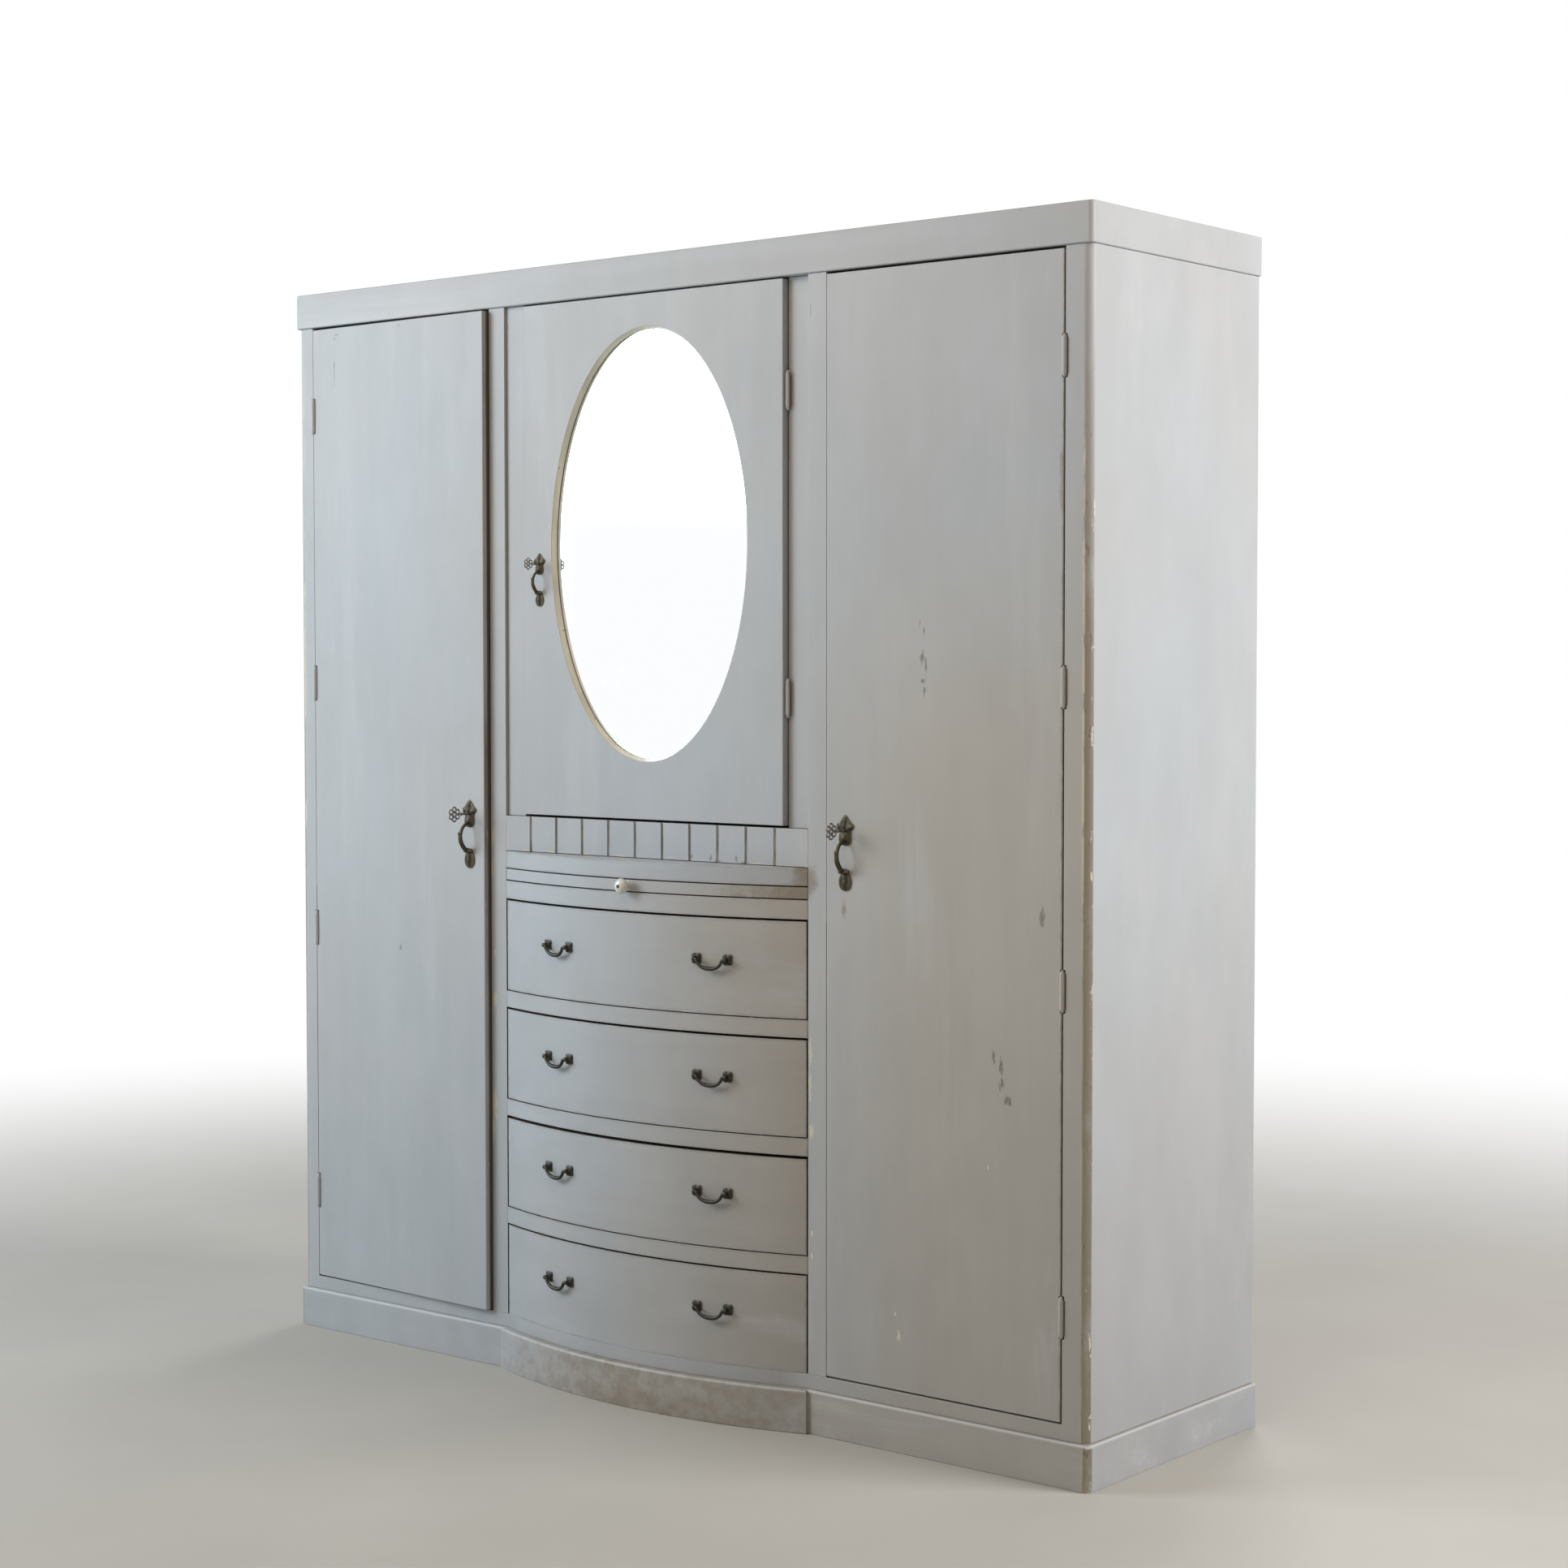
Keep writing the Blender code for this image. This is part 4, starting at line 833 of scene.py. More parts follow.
def add_bar(shape, line, sides, place, closed=False):
    """A round bar along (x, y, z, radius) points."""
    rows = []
    across = None
    count = len(line)
    for index, point in enumerate(line):
        before = line[index - 1] if closed or index else point
        after = line[(index + 1) % count] if closed or index + 1 < count else point
        along = (after - before).xyz.normalized()
        if across is None:
            across = along.orthogonal()
        across = (across - along * across.dot(along)).normalized()
        other = along.cross(across)
        rows.append([
            place @ (point.xyz + point.w * (math.cos(turn) * across + math.sin(turn) * other))
            for turn in turns(sides)
        ])
    add_loft(shape, rows, along=closed)


def add_turned(shape, profile, sides, place):
    """A turned form about its own Z from (radius, height) points."""
    rows = [[place @ Vector((r * math.cos(t), r * math.sin(t), h)) for t in turns(sides)] for r, h in profile]
    add_loft(shape, rows)


def add_relief(shape, outline, height, sink, rings, place):
    """A cast plate: an outline whose front swells by a height for x, y and the share of the way out."""
    rows = [[place @ Vector((x, y, -sink)) for x, y in outline]]
    for ring in range(rings, 0, -1):
        share = ring / rings
        inner = [(x * share, y * share) for x, y in outline]
        rows.append([place @ Vector((x, y, height(x, y, share))) for x, y in inner])
    rows.append([place @ Vector((x * TIP, y * TIP, height(0.0, 0.0, 0.0))) for x, y in outline])
    add_loft(shape, rows)


def solid(node):
    """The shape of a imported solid, with its triangles merged back into flat faces."""
    mesh = frame["nodes"][node].data
    shape = bmesh.new()
    corners = [shape.verts.new(vertex.co) for vertex in mesh.vertices]
    for face in mesh.polygons:
        shape.faces.new([corners[index] for index in face.vertices])
    bmesh.ops.remove_doubles(shape, verts=shape.verts, dist=WELD)
    bmesh.ops.dissolve_limit(shape, angle_limit=FLAT_ANGLE, verts=shape.verts, edges=shape.edges)
    return shape


def round_edges(shape, edges, width, steps):
    bmesh.ops.bevel(
        shape, geom=edges, offset=width, segments=steps, profile=0.5, affect="EDGES", clamp_overlap=True,
    )


def soften(shape, width, steps=2, sharpest=30.0):
    """Rounds every edge that is sharper than an angle in degrees."""
    limit = math.radians(sharpest)
    edges = [edge for edge in shape.edges if len(edge.link_faces) == 2 and edge.calc_face_angle() > limit]
    round_edges(shape, edges, width, steps)


def make_piece(name, shape, finishes, body, nodes=(), crease=40.0):
    """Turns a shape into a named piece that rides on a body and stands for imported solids."""
    bmesh.ops.recalc_face_normals(shape, faces=shape.faces)
    mesh = bpy.data.meshes.new(name)
    shape.to_mesh(mesh)
    shape.free()
    mesh.shade_smooth()
    mesh.set_sharp_from_angle(angle=math.radians(crease))
    for finish in finishes:
        mesh.materials.append(finish)
    piece = bpy.data.objects.new(name, mesh)
    bpy.context.scene.collection.objects.link(piece)
    piece.modifiers.new("even_normals", "WEIGHTED_NORMAL").keep_sharp = True
    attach(piece, body)
    if nodes:
        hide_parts(*nodes)


def make_board(node, finishes, body="case", slot="grey_paint", choose=None, nudge=None):
    """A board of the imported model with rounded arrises.

    Choose gives the number of the finish that a face gets, and nudge moves the board's corners a little.
    """
    corner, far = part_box(node)
    shape = solid(node)
    if nudge:
        for vertex in shape.verts:
            vertex.co += Vector(nudge(vertex.co, corner, far))
    soften(shape, bpy.context.scene.cupboard_boards.arris)
    if choose:
        shape.normal_update()
        for face in shape.faces:
            face.material_index = choose(face)
    ending = "painted" if slot == "grey_paint" else "wood"
    make_piece(f"{node}_{ending}", shape, finishes, body, [node])


def looks_aside(face):
    return int(abs(face.normal.x) > FACING)


def facing(place, out):
    """A frame at a place with X to the right, Y up and Z outwards."""
    out = Vector(out).normalized()
    up = Vector((0.0, 0.0, 1.0))
    right = up.cross(out).normalized()
    turn = Matrix((right, up, out)).transposed().to_4x4()
    return Matrix.Translation(place) @ turn


# Where each lamp hangs, the place it points at, its size and its colour
LAMPS = {
    "window": ((-3.3, -3.4, 2.9), (0.0, 0.0, 1.15), 2.4, (0.90, 0.960, 1.0)),
    "low": ((-3.6, -2.2, 1.4), (0.0, 0.0, 1.0), 2.2, (0.55, 0.80, 1.0)),
    "high": ((0.9, -2.6, 3.9), (0.2, 0.0, 1.3), 2.2, (1.0, 0.77, 0.52)),
    "side": ((4.6, 1.3, 2.5), (0.9, 0.05, 1.15), 2.4, (0.985, 0.977, 0.965)),
    "back": ((-1.5, 4.6, 3.0), (0.0, 0.3, 1.0), 2.4, WHITE),
}


class StageOperator(bpy.types.Operator):
    """Lays the floor, sets the lights and stands the camera where the cupboard was seen from"""

    bl_idname = "linen_cupboard.stage"
    bl_label = "Stage"

    def execute(self, context):
        settings = context.scene.cupboard_stage
        shape = bmesh.new()
        bmesh.ops.create_circle(shape, cap_ends=True, segments=96, radius=settings.floor_radius)
        mesh = bpy.data.meshes.new("floor")
        shape.to_mesh(mesh)
        shape.free()
        mesh.materials.append(pale_floor("pale_floor"))
        floor = bpy.data.objects.new("floor", mesh)
        context.scene.collection.objects.link(floor)
        for name, lamp in LAMPS.items():
            self.add_lamp(f"{name}_light", getattr(settings, f"{name}_power"), *lamp)
        self.light_world(context.scene, settings)
        camera = bpy.data.objects.new("camera", bpy.data.cameras.new("camera"))
        camera.location = settings.camera_place
        camera.rotation_euler = settings.camera_turn
        camera.data.lens = settings.lens
        camera.data.sensor_width = 36.0
        context.scene.collection.objects.link(camera)
        context.scene.camera = camera
        context.scene.view_settings.view_transform = "Standard"
        return {"FINISHED"}

    def add_lamp(self, name, power, place, target, size, colour):
        lamp = bpy.data.lights.new(name, "AREA")
        lamp.size = size
        lamp.energy = power
        lamp.color = colour
        holder = bpy.data.objects.new(name, lamp)
        holder.location = place
        holder.rotation_euler = (Vector(place) - Vector(target)).to_track_quat("Z", "Y").to_euler()
        bpy.context.scene.collection.objects.link(holder)

    def light_world(self, scene, settings):
        """Soft light from all round, which shows as plain white to the camera and in reflections."""
        world = bpy.data.worlds.new("studio")
        tree = Tree(world)
        ambient = tree.nodes["Background"]
        tree.feed(ambient.inputs["Color"], settings.ambient)
        white = tree.add("ShaderNodeBackground", {"Color": WHITE})
        tree.surface("World Output", tree.seen(), ambient, white)
        scene.world = world


class CarcassOperator(bpy.types.Operator):
    """Makes the plinth, sides, partitions, cornice, roof, back and the strips beside the mirror door"""

    bl_idname = "linen_cupboard.carcass"
    bl_label = "Carcass"

    STRIP_FRONT = 0.02
    PLINTH_FOOT = [(0.0014, 0.0), (0.0003, 0.0011), (0.0, 0.003)]
    NAIL = [(TIP, 0.0), (0.0026, 0.0), (0.0022, 0.0006), (TIP, 0.0010)]
    NAIL_SINK = 0.0004
    NAIL_MARGIN = 0.02
    BOARD_EDGE = 0.0004

    def execute(self, context):
        settings = context.scene.cupboard_boards
        self.make_plinth(settings)
        self.make_cornice(settings)
        self.make_back(settings)
        # bare wood inside, dark near the front with soiling and painted shade where the gaps show it
        inside = timber("timber_inside", UPRIGHT, settings.post_depth)
        make_board("floor_board", [paint("paint_across", ACROSS)], nudge=self.meet_posts)
        make_board("roof_board", [timber("timber_across", ACROSS)], slot="bare_wood")
        for side, sign in SIDES.items():
            finishes = [paint("paint_side", DABBED, wear=0.8, corner=True, streak=0.85), inside]
            make_board(
                f"{side}_side_panel", finishes, nudge=self.widen,
                choose=lambda face: int(face.normal.x * sign < -FACING),
            )
            finishes = [paint(f"paint_{side}_stile", UPRIGHT), inside]
            make_board(f"{side}_partition", finishes, choose=looks_aside)
            # the strips' side faces, in the gaps, get soiling and painted shade
            finishes = [paint("paint_upright", UPRIGHT), gap_grime()]
            make_board(f"{side}_filler_strip", finishes, choose=looks_aside, nudge=self.meet_door)
        return {"FINISHED"}

    def meet_door(self, place, corner, far):
        """Brings the left strip forward and leaves room for the mirror door's left edge."""
        if place.x > 0:
            return STILL
        scene = bpy.context.scene
        forward = scene.cupboard_boards.filler_forward if place.y < FRONT + self.STRIP_FRONT else 0.0
        aside = scene.cupboard_mirror.left_over if place.x > far.x - HINGE_REACH else 0.0
        return -aside, -forward, 0.0

    def widen(self, place, corner, far):
        """Makes the right post wider, with the places cut in it for the hinges."""
        return (-POST_REACH if 0 < place.x < corner.x + HINGE_REACH else 0.0), 0.0, 0.0

    def meet_posts(self, place, corner, far):
        """Ends the floor board's front a little inside the posts, so that no groove shows between them."""
        inner = low("right_side_panel").x
        longer = 2 * bpy.context.scene.cupboard_boards.arris
        if abs(abs(place.x) - inner) > longer or place.y > FRONT + longer:
            return STILL
        return (longer - POST_REACH if place.x > 0 else -longer), 0.0, 0.0

    def make_plinth(self, settings):
        corner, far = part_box("plinth_frame")
        front = FRONT - (far.x - HALF_WIDTH)
        bow_proud = FRONT - BOW_SAG - corner.y
        bow_half = DRAWER_HALF + settings.plinth_return

        def line(inset):
            outer = far.x - inset
            radius = max(settings.corner_radius - inset, TIP)
            bow = bow_line(bow_half - inset, bow_proud - inset)
            wing = front + inset
            left = [(-outer, far.y), *front_corner(outer, wing, radius, -1), (bow[0][0], wing)]
            right = [(bow[-1][0], wing), *front_corner(outer, wing, radius, 1), (outer, far.y)]
            return left + bow + right

        edge = rounding(settings.plinth_round, steps=5)
        profile = self.PLINTH_FOOT + [(inset, far.z + z) for inset, z in edge]
        profile += [(settings.plinth_thick, far.z), (settings.plinth_thick, 0.0)]
        shape = bmesh.new()
        add_moulding(shape, line, profile)
        # a strong painted highlight on the plinth's rounded top
        finish = paint("paint_plinth", ACROSS, 0.2, corner=True, streak=1.4, rub_and_highlight=0.9, shade_widths=SHADE_PLINTH)
        make_piece("plinth", shape, [finish], "case", ["plinth_frame"])

    def make_cornice(self, settings):
        corner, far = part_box("cornice_frame")

        def line(inset):
            outer = far.x - inset
            radius = max(settings.cornice_corner - inset, TIP)
            left = front_corner(outer, corner.y + inset, radius, -1)
            right = front_corner(outer, corner.y + inset, radius, 1)
            return [(-outer, far.y), *left, *right, (outer, far.y)]

        edge = rounding(settings.cornice_round, steps=4)
        profile = [(inset, corner.z - z) for inset, z in reversed(edge)]
        profile += [(inset, far.z + z) for inset, z in edge]
        profile += [(settings.cornice_thick, far.z), (settings.cornice_thick, corner.z)]
        shape = bmesh.new()
        add_moulding(shape, line, profile)
        make_piece("cornice", shape, [paint("paint_cornice", ACROSS, wear=0.8)], "case", ["cornice_frame"])

    def make_back(self, settings):
        """Upright boards with a V between each two, nailed in rows."""
        corner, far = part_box("back_panel")
        groove = settings.back_groove
        joints = spread(corner.x, far.x, settings.back_boards)[1:-1]
        outside = [(far.x, far.y)]
        for x in reversed(joints):
            outside += [(x + groove, far.y), (x, far.y - groove), (x - groove, far.y)]
        outside.append((corner.x, far.y))
        inside = [(corner.x, corner.y)]
        for x in joints:
            inside += [(x - groove, corner.y), (x, corner.y + groove), (x + groove, corner.y)]
        inside.append((far.x, corner.y))
        shape = bmesh.new()
        add_prism(shape, inside + outside, corner.z, far.z)
        soften(shape, self.BOARD_EDGE, steps=1, sharpest=60.0)
        wood = timber("timber_upright", UPRIGHT)
        make_piece("back_boards", shape, [wood], "case", ["back_panel"])
        nails = bmesh.new()
        width = (far.x - corner.x) / settings.back_boards
        for z in (corner.z + self.NAIL_MARGIN, (corner.z + far.z) / 2, far.z - self.NAIL_MARGIN):
            for board in range(settings.back_boards):
                for share in (0.25, 0.75):
                    place = (corner.x + (board + share) * width, far.y - self.NAIL_SINK, z)
                    add_turned(nails, self.NAIL, sides=10, place=facing(place, (0.0, 1.0, 0.0)))
        make_piece("back_nails", nails, [iron("old_iron")], "case")


class ShelvesOperator(bpy.types.Operator):
    """Makes the shelves of the wings and the floor and shelf behind the mirror"""

    bl_idname = "linen_cupboard.shelves"
    bl_label = "Shelves"

    def execute(self, context):
        wood = timber("timber_across", ACROSS)
        wings = [f"{side}_shelf_{number}" for side in SIDES for number in (1, 2)]
        for node in ("cupboard_floor", "cupboard_shelf", *wings):
            make_board(node, [wood], slot="bare_wood")
        return {"FINISHED"}


class ChestOperator(bpy.types.Operator):
    """Makes the rails between the drawers, the chest top and the fluted frieze over it"""

    bl_idname = "linen_cupboard.chest"
    bl_label = "Chest"

    FLUTE_STEPS = 6
    FLUTE_EDGE = 0.0005
    FLUTE_SHALLOW = 0.0009
    END_ON = 0.99
    HALF_TURNED = 0.5

    def execute(self, context):
        # the rails' top and bottom faces, deep in the gaps, get soiling and painted shade
        finishes = [paint("paint_rail", ACROSS, wear=1.25, darker_edges=True, shade_widths=SHADE_CHEST), gap_grime()]
        for node in ("drawer_rail_1", "drawer_rail_2", "drawer_rail_3", "slide_rail"):
            make_board(node, finishes, choose=lambda face: int(abs(face.normal.z) > LEANING))
        # the chest top's underside gets soiling and painted shade
        finishes = [paint("paint_chest_top", ACROSS, wear=1.1, darker_edges=True), gap_grime()]
        make_board("chest_top", finishes, choose=lambda face: int(face.normal.z < -LEANING))
        self.make_frieze(context.scene)
        return {"FINISHED"}

    def make_frieze(self, scene):
        settings = scene.cupboard_boards
        corner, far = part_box("fluted_frieze")
        half = settings.flute_width / 2
        outline = [(corner.x, far.y), (corner.x, corner.y)]
        reach = far.x - settings.flute_end
        for x in spread(-reach - settings.flute_aside, reach - settings.flute_aside, settings.flutes - 1):
            for angle in spread(180, 0, self.FLUTE_STEPS):
                turn = math.radians(angle)
                outline.append((x + half * math.cos(turn), corner.y + settings.flute_depth * math.sin(turn)))
        outline += [(far.x, corner.y), (far.x, far.y)]
        shape = bmesh.new()
        add_prism(shape, outline, corner.z + settings.frieze_seam, far.z)
        soften(shape, self.FLUTE_EDGE, steps=2, sharpest=40.0)
        for face in shape.faces:
            deep = face.calc_center_median().y > corner.y + self.FLUTE_SHALLOW
            level = abs(face.normal.z) > self.HALF_TURNED
            outside = abs(face.normal.x) > self.END_ON or face.normal.y > self.HALF_TURNED
            face.material_index = int(deep and not level and not outside)
        flute_grime = dark_mottled("flute_grime", scene.cupboard_paint.flute_grime)
        finishes = [paint("paint_frieze", UPRIGHT, wear=1.35), flute_grime]
        make_piece("frieze", shape, finishes, "case", ["fluted_frieze"], crease=50.0)


class DrawersOperator(bpy.types.Operator):
    """Makes the four bow-fronted drawers with their dovetailed boxes"""

    bl_idname = "linen_cupboard.drawers"
    bl_label = "Drawers"

    END = 0.8
    BOX_EDGE = 0.0008
    BOTTOM_LIFT = 0.002
    TAIL_LIFT = 0.004
    TAIL_THICK = 0.004
    TAIL_PROUD = 0.0003
    TAIL_REACH = 0.62
    TAIL_ROOT = 0.24
    TAIL_END = 0.36

    def execute(self, context):
        settings = context.scene.cupboard_drawers
        for number in DRAWERS:
            corner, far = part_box(f"drawer_{number}")
            self.make_front(number, settings, corner, far)
            self.make_box(number, settings, corner, far)
        return {"FINISHED"}

    def make_front(self, number, settings, corner, far):
        outline = bow_line(DRAWER_HALF, 0.0) + bow_line(DRAWER_HALF, -settings.front_thick)[::-1]
        left = -DRAWER_HALF + settings.left_clear
        right = DRAWER_HALF - settings.right_clear
        outline = [(min(max(x, left), right), y) for x, y in outline]
        lift = settings.front_lift if number < DRAWERS[-1] else 0.0
        shape = bmesh.new()
        add_prism(shape, outline, corner.z + lift, far.z - TOP_GAPS[number])
        soften(shape, settings.front_round, steps=3)
        shape.normal_update()
        for face in shape.faces:
            face.material_index = int(max(abs(face.normal.x), abs(face.normal.z)) > self.END)
        # the fronts' ends, tops and feet, seen only in the gaps, get soiling and painted shade
        finishes = [paint("paint_drawer", ACROSS, wear=0.6, darker_edges=True, shade_widths=SHADE_CHEST), gap_grime()]
        name = f"drawer_{number}"
        make_piece(f"{name}_front", shape, finishes, name, [name])

    def make_box(self, number, settings, corner, far):
        """Sides, back and bottom behind the front, with tails let into the front's ends."""
        half = DRAWER_HALF - settings.side_inset
        thick = settings.side_thick
        inner = half - thick
        top = far.z - settings.side_drop
        start = bow_line(half, -settings.front_thick)[0][1]
        shape = bmesh.new()
        for x in (-half, inner):
            add_box(shape, (x, start, corner.z), (x + thick, far.y, top))
        add_box(shape, (-inner, far.y - thick, corner.z), (inner, far.y, top - settings.back_drop))
        soften(shape, self.BOX_EDGE)
        outline = bow_line(inner, -settings.front_thick) + [(inner, far.y - thick), (-inner, far.y - thick)]
        add_prism(shape, outline, corner.z + self.BOTTOM_LIFT, corner.z + settings.bottom_thick)
        self.add_tails(shape, settings, corner.z + self.TAIL_LIFT, top)
        name = f"drawer_{number}"
        make_piece(f"{name}_box", shape, [timber("timber_deep", INWARDS)], name)

    def add_tails(self, shape, settings, foot, top):
        """Fan-shaped ends of the sides, seen in the ends of the front."""
        start = bow_line(DRAWER_HALF, -settings.front_thick)[0][1]
        end = start - settings.front_thick * self.TAIL_REACH
        pitch = (top - foot) / settings.tails
        root = pitch * self.TAIL_ROOT
        wide = pitch * self.TAIL_END
        for sign in SIDES.values():
            xs = sorted((sign * (DRAWER_HALF - self.TAIL_THICK), sign * (DRAWER_HALF + self.TAIL_PROUD)))
            for tail in range(settings.tails):
                middle = foot + (tail + 0.5) * pitch
                profile = [(start, middle - root), (end, middle - wide)]
                profile += [(end, middle + wide), (start, middle + root)]
                add_loft(shape, [[(x, y, z) for y, z in profile] for x in xs])


class PullsOperator(bpy.types.Operator):
    """Makes the rosettes and posts on the drawers and the bails that hang between them"""

    bl_idname = "linen_cupboard.pulls"
    bl_label = "Drawer pulls"

    # Radius and height of the turned post
    POST = (
        (0.0052, 0.0026), (0.0040, 0.0044), (0.0033, 0.0068), (0.0033, 0.0084), (0.0036, 0.0098),
        (0.0036, 0.0114), (0.0031, 0.0126), (0.0019, 0.0134), (TIP, 0.0137),
    )
    # Middle line and radius of a bail, from its lowest point to the neck that enters the right post
    NECK = (
        (0.0075, -0.0149, -0.0012, 0.0035), (0.0140, -0.0130, -0.0010, 0.0032),
        (0.0192, -0.0098, -0.0006, 0.0029), (0.0226, -0.0060, -0.0002, 0.0027),
        (0.0243, -0.0026, 0.0, 0.0027), (0.0256, -0.0005, 0.0, 0.0026), (0.0272, 0.0, 0.0, 0.0020),
    )
    LOWEST = (0.0, -0.0154, -0.0013, 0.0036)
    # Distance past the post's middle, and radius
    STEM = ((0.0, 0.0018), (0.0024, 0.0019), (0.0036, 0.0013))
    ROSETTE_SINK = 0.0016
    ROSETTE_STEPS = 48
    ROSETTE_THICK = 0.0014
    POINTED = 0.14
    DOME = 0.0018
    PETAL = 0.0010

    def execute(self, context):
        settings = context.scene.cupboard_drawers
        fittings = context.scene.cupboard_fittings
        metal = bronze("pull_bronze", fittings.pull, fittings.pull_rubbed_and_lit)
        for number in DRAWERS:
            name = f"drawer_{number}"
            pulls = self.find_pulls(number)
            shape = bmesh.new()
            for surface, _ in pulls.values():
                for sign in SIDES.values():
                    post = surface @ Matrix.Translation((sign * settings.post_spacing / 2, 0.0, 0.0))
                    self.add_rosette(shape, settings.rosette, post)
            make_piece(f"{name}_rosettes", shape, [metal], name, crease=60.0)
            for side, (_, axis) in pulls.items():
                body = f"{name}_{side}_bail"
                shape = bmesh.new()
                self.add_bail(shape, settings.post_spacing / 2, axis)
                make_piece(f"{body}_cast", shape, [metal], body, [body], crease=60.0)
        return {"FINISHED"}

    def find_pulls(self, number):
        """Two frames for each of a drawer's pulls: on the bow's surface and on the bail's axis."""
        pulls = {}
        for side in SIDES:
            axis = Vector(JOINTS[f"drawer_{number}_{side}_bail_swing"]["pos_m"])
            out = Vector((axis.x, axis.y - BOW_CENTRE, 0.0)).normalized()
            surface = Vector((0.0, BOW_CENTRE, axis.z)) + out * BOW_RADIUS
            pulls[side] = (facing(surface, out), facing(axis, out))
        return pulls

    def add_rosette(self, shape, half, place):
        """A square rosette with pointed corners, and the turned post that holds the bail."""
        outline = []
        for turn in turns(self.ROSETTE_STEPS):
            reach = half * (1 + self.POINTED * math.cos(4 * (turn - math.pi / 4)))
            outline.append((reach * math.cos(turn), reach * math.sin(turn)))

        def height(x, y, share):
            petal = 0.5 + 0.5 * math.cos(4 * (math.atan2(y, x) - math.pi / 4))
            swell = self.DOME * (1 - share**2) + self.PETAL * petal * share * (1.15 - share)
            return self.ROSETTE_THICK + swell

        add_relief(shape, outline, height, self.ROSETTE_SINK, rings=7, place=place)
        add_turned(shape, self.POST, sides=18, place=place)

    def add_bail(self, shape, half_spacing, place):
        """A swan-necked bail whose ends pass through the posts."""
        stem = [(half_spacing + past, 0.0, 0.0, radius) for past, radius in self.STEM]
        right = [*self.NECK, *stem]
        add_bar(shape, through([*mirrored(right), self.LOWEST, *right], steps=6), sides=12, place=place)


class SlideOperator(bpy.types.Operator):
    """Makes the writing slide and its porcelain knob"""

    bl_idname = "linen_cupboard.writing_slide"
    bl_label = "Writing slide"

    EDGE = 0.001
    FRONT_DEPTH = 0.01
    # Angles between which the knob's head is round, and how flat it is
    HEAD_TURN = (-62, 76)
    HEAD_FLAT = 2 / 3
    # Radius and height of the knob's foot, and of its hollow and screw from the head's top
    FOOT = [(TIP, 0.0), (0.0064, 0.0), (0.0067, 0.0012), (0.0066, 0.0030), (0.0058, 0.0042), (0.0056, 0.0056)]
    HOLLOW = [(0.0033, 0.0001), (0.0030, -0.0004), (0.0029, -0.0016), (TIP, -0.0016)]
    SCREW = [(TIP, -0.0030), (0.0028, -0.0030), (0.0028, -0.0008), (0.0018, -0.0002), (TIP, -0.0001)]

    def execute(self, context):
        finish = paint("paint_slide", ACROSS, shade_widths=SHADE_CHEST)
        make_board("writing_slide", [finish], "writing_slide", nudge=self.settle)
        corner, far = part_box("slide_knob")
        radius = (far.x - corner.x) / 2
        reach = far.y - corner.y
        head = radius * self.HEAD_FLAT
        profile = list(self.FOOT)
        for angle in spread(*self.HEAD_TURN, steps=14):
            turn = math.radians(angle)
            profile.append((radius * math.cos(turn), reach - head * (1 - math.sin(turn))))
        top = profile[-1][1]
        profile += [(r, top + h) for r, h in self.HOLLOW]
        place = facing(((corner.x + far.x) / 2, far.y, (corner.z + far.z) / 2), (0.0, -1.0, 0.0))
        shape = bmesh.new()
        add_turned(shape, profile, sides=40, place=place)
        glazed = len(shape.faces)
        add_turned(shape, [(r, top + h) for r, h in self.SCREW], sides=20, place=place)
        shape.faces.ensure_lookup_table()
        for face in shape.faces[glazed:]:
            face.material_index = 1
        # the screw near black, with the shade of its hollow painted in
        finishes = [porcelain("white_glaze"), dark_mottled("screw_grime", context.scene.cupboard_fittings.screw)]
        body = "writing_slide"
        make_piece("slide_knob_glazed", shape, finishes, body, ["slide_knob"], crease=60.0)
        return {"FINISHED"}

    def settle(self, place, corner, far):
        """Shuts the gap at the slide's left end, brings its front out and opens the gap under it."""
        aside = -SLIDE_LEFT if place.x < corner.x + self.EDGE else 0.0
        if place.y > FRONT + self.FRONT_DEPTH:
            return aside, 0.0, 0.0
        return aside, -SLIDE_OUT, (SLIDE_LIFT if place.z < corner.z + self.EDGE else 0.0)


class WingDoorsOperator(bpy.types.Operator):
    """Makes the two full-height doors"""

    bl_idname = "linen_cupboard.wing_doors"
    bl_label = "Wing doors"

    EDGE_ON = 0.3

    def execute(self, context):
        for side in SIDES:
            finishes = [paint(f"paint_{side}_door", UPRIGHT, wear=0.85), rubbed_edge("rubbed_edge")]
            finishes.append(timber("timber_upright", UPRIGHT))
            make_board(f"{side}_door", finishes, f"{side}_door", choose=self.face_kind, nudge=self.settle)
        return {"FINISHED"}

    def settle(self, place, corner, far):
        """Lowers the doors' tops, shuts their left edges tight in front and makes room for the right post."""
        down = DOOR_SAG if place.z > far.z - DOOR_SAG else 0.0
        aside = 0.0
        if place.x < corner.x + DOOR_CLOSE and place.y < FRONT + DOOR_CLOSE:
            aside = DOOR_CLOSE
        elif place.x > max(far.x - HINGE_REACH, 0.0):
            aside = POST_REACH
        return -aside, 0.0, -down

    def face_kind(self, face):
        """Paint in front, worn edges with painted shade deep in the gap, and bare wood behind."""
        if face.normal.y > FACING:
            return 2
        return int(abs(face.normal.y) < self.EDGE_ON)


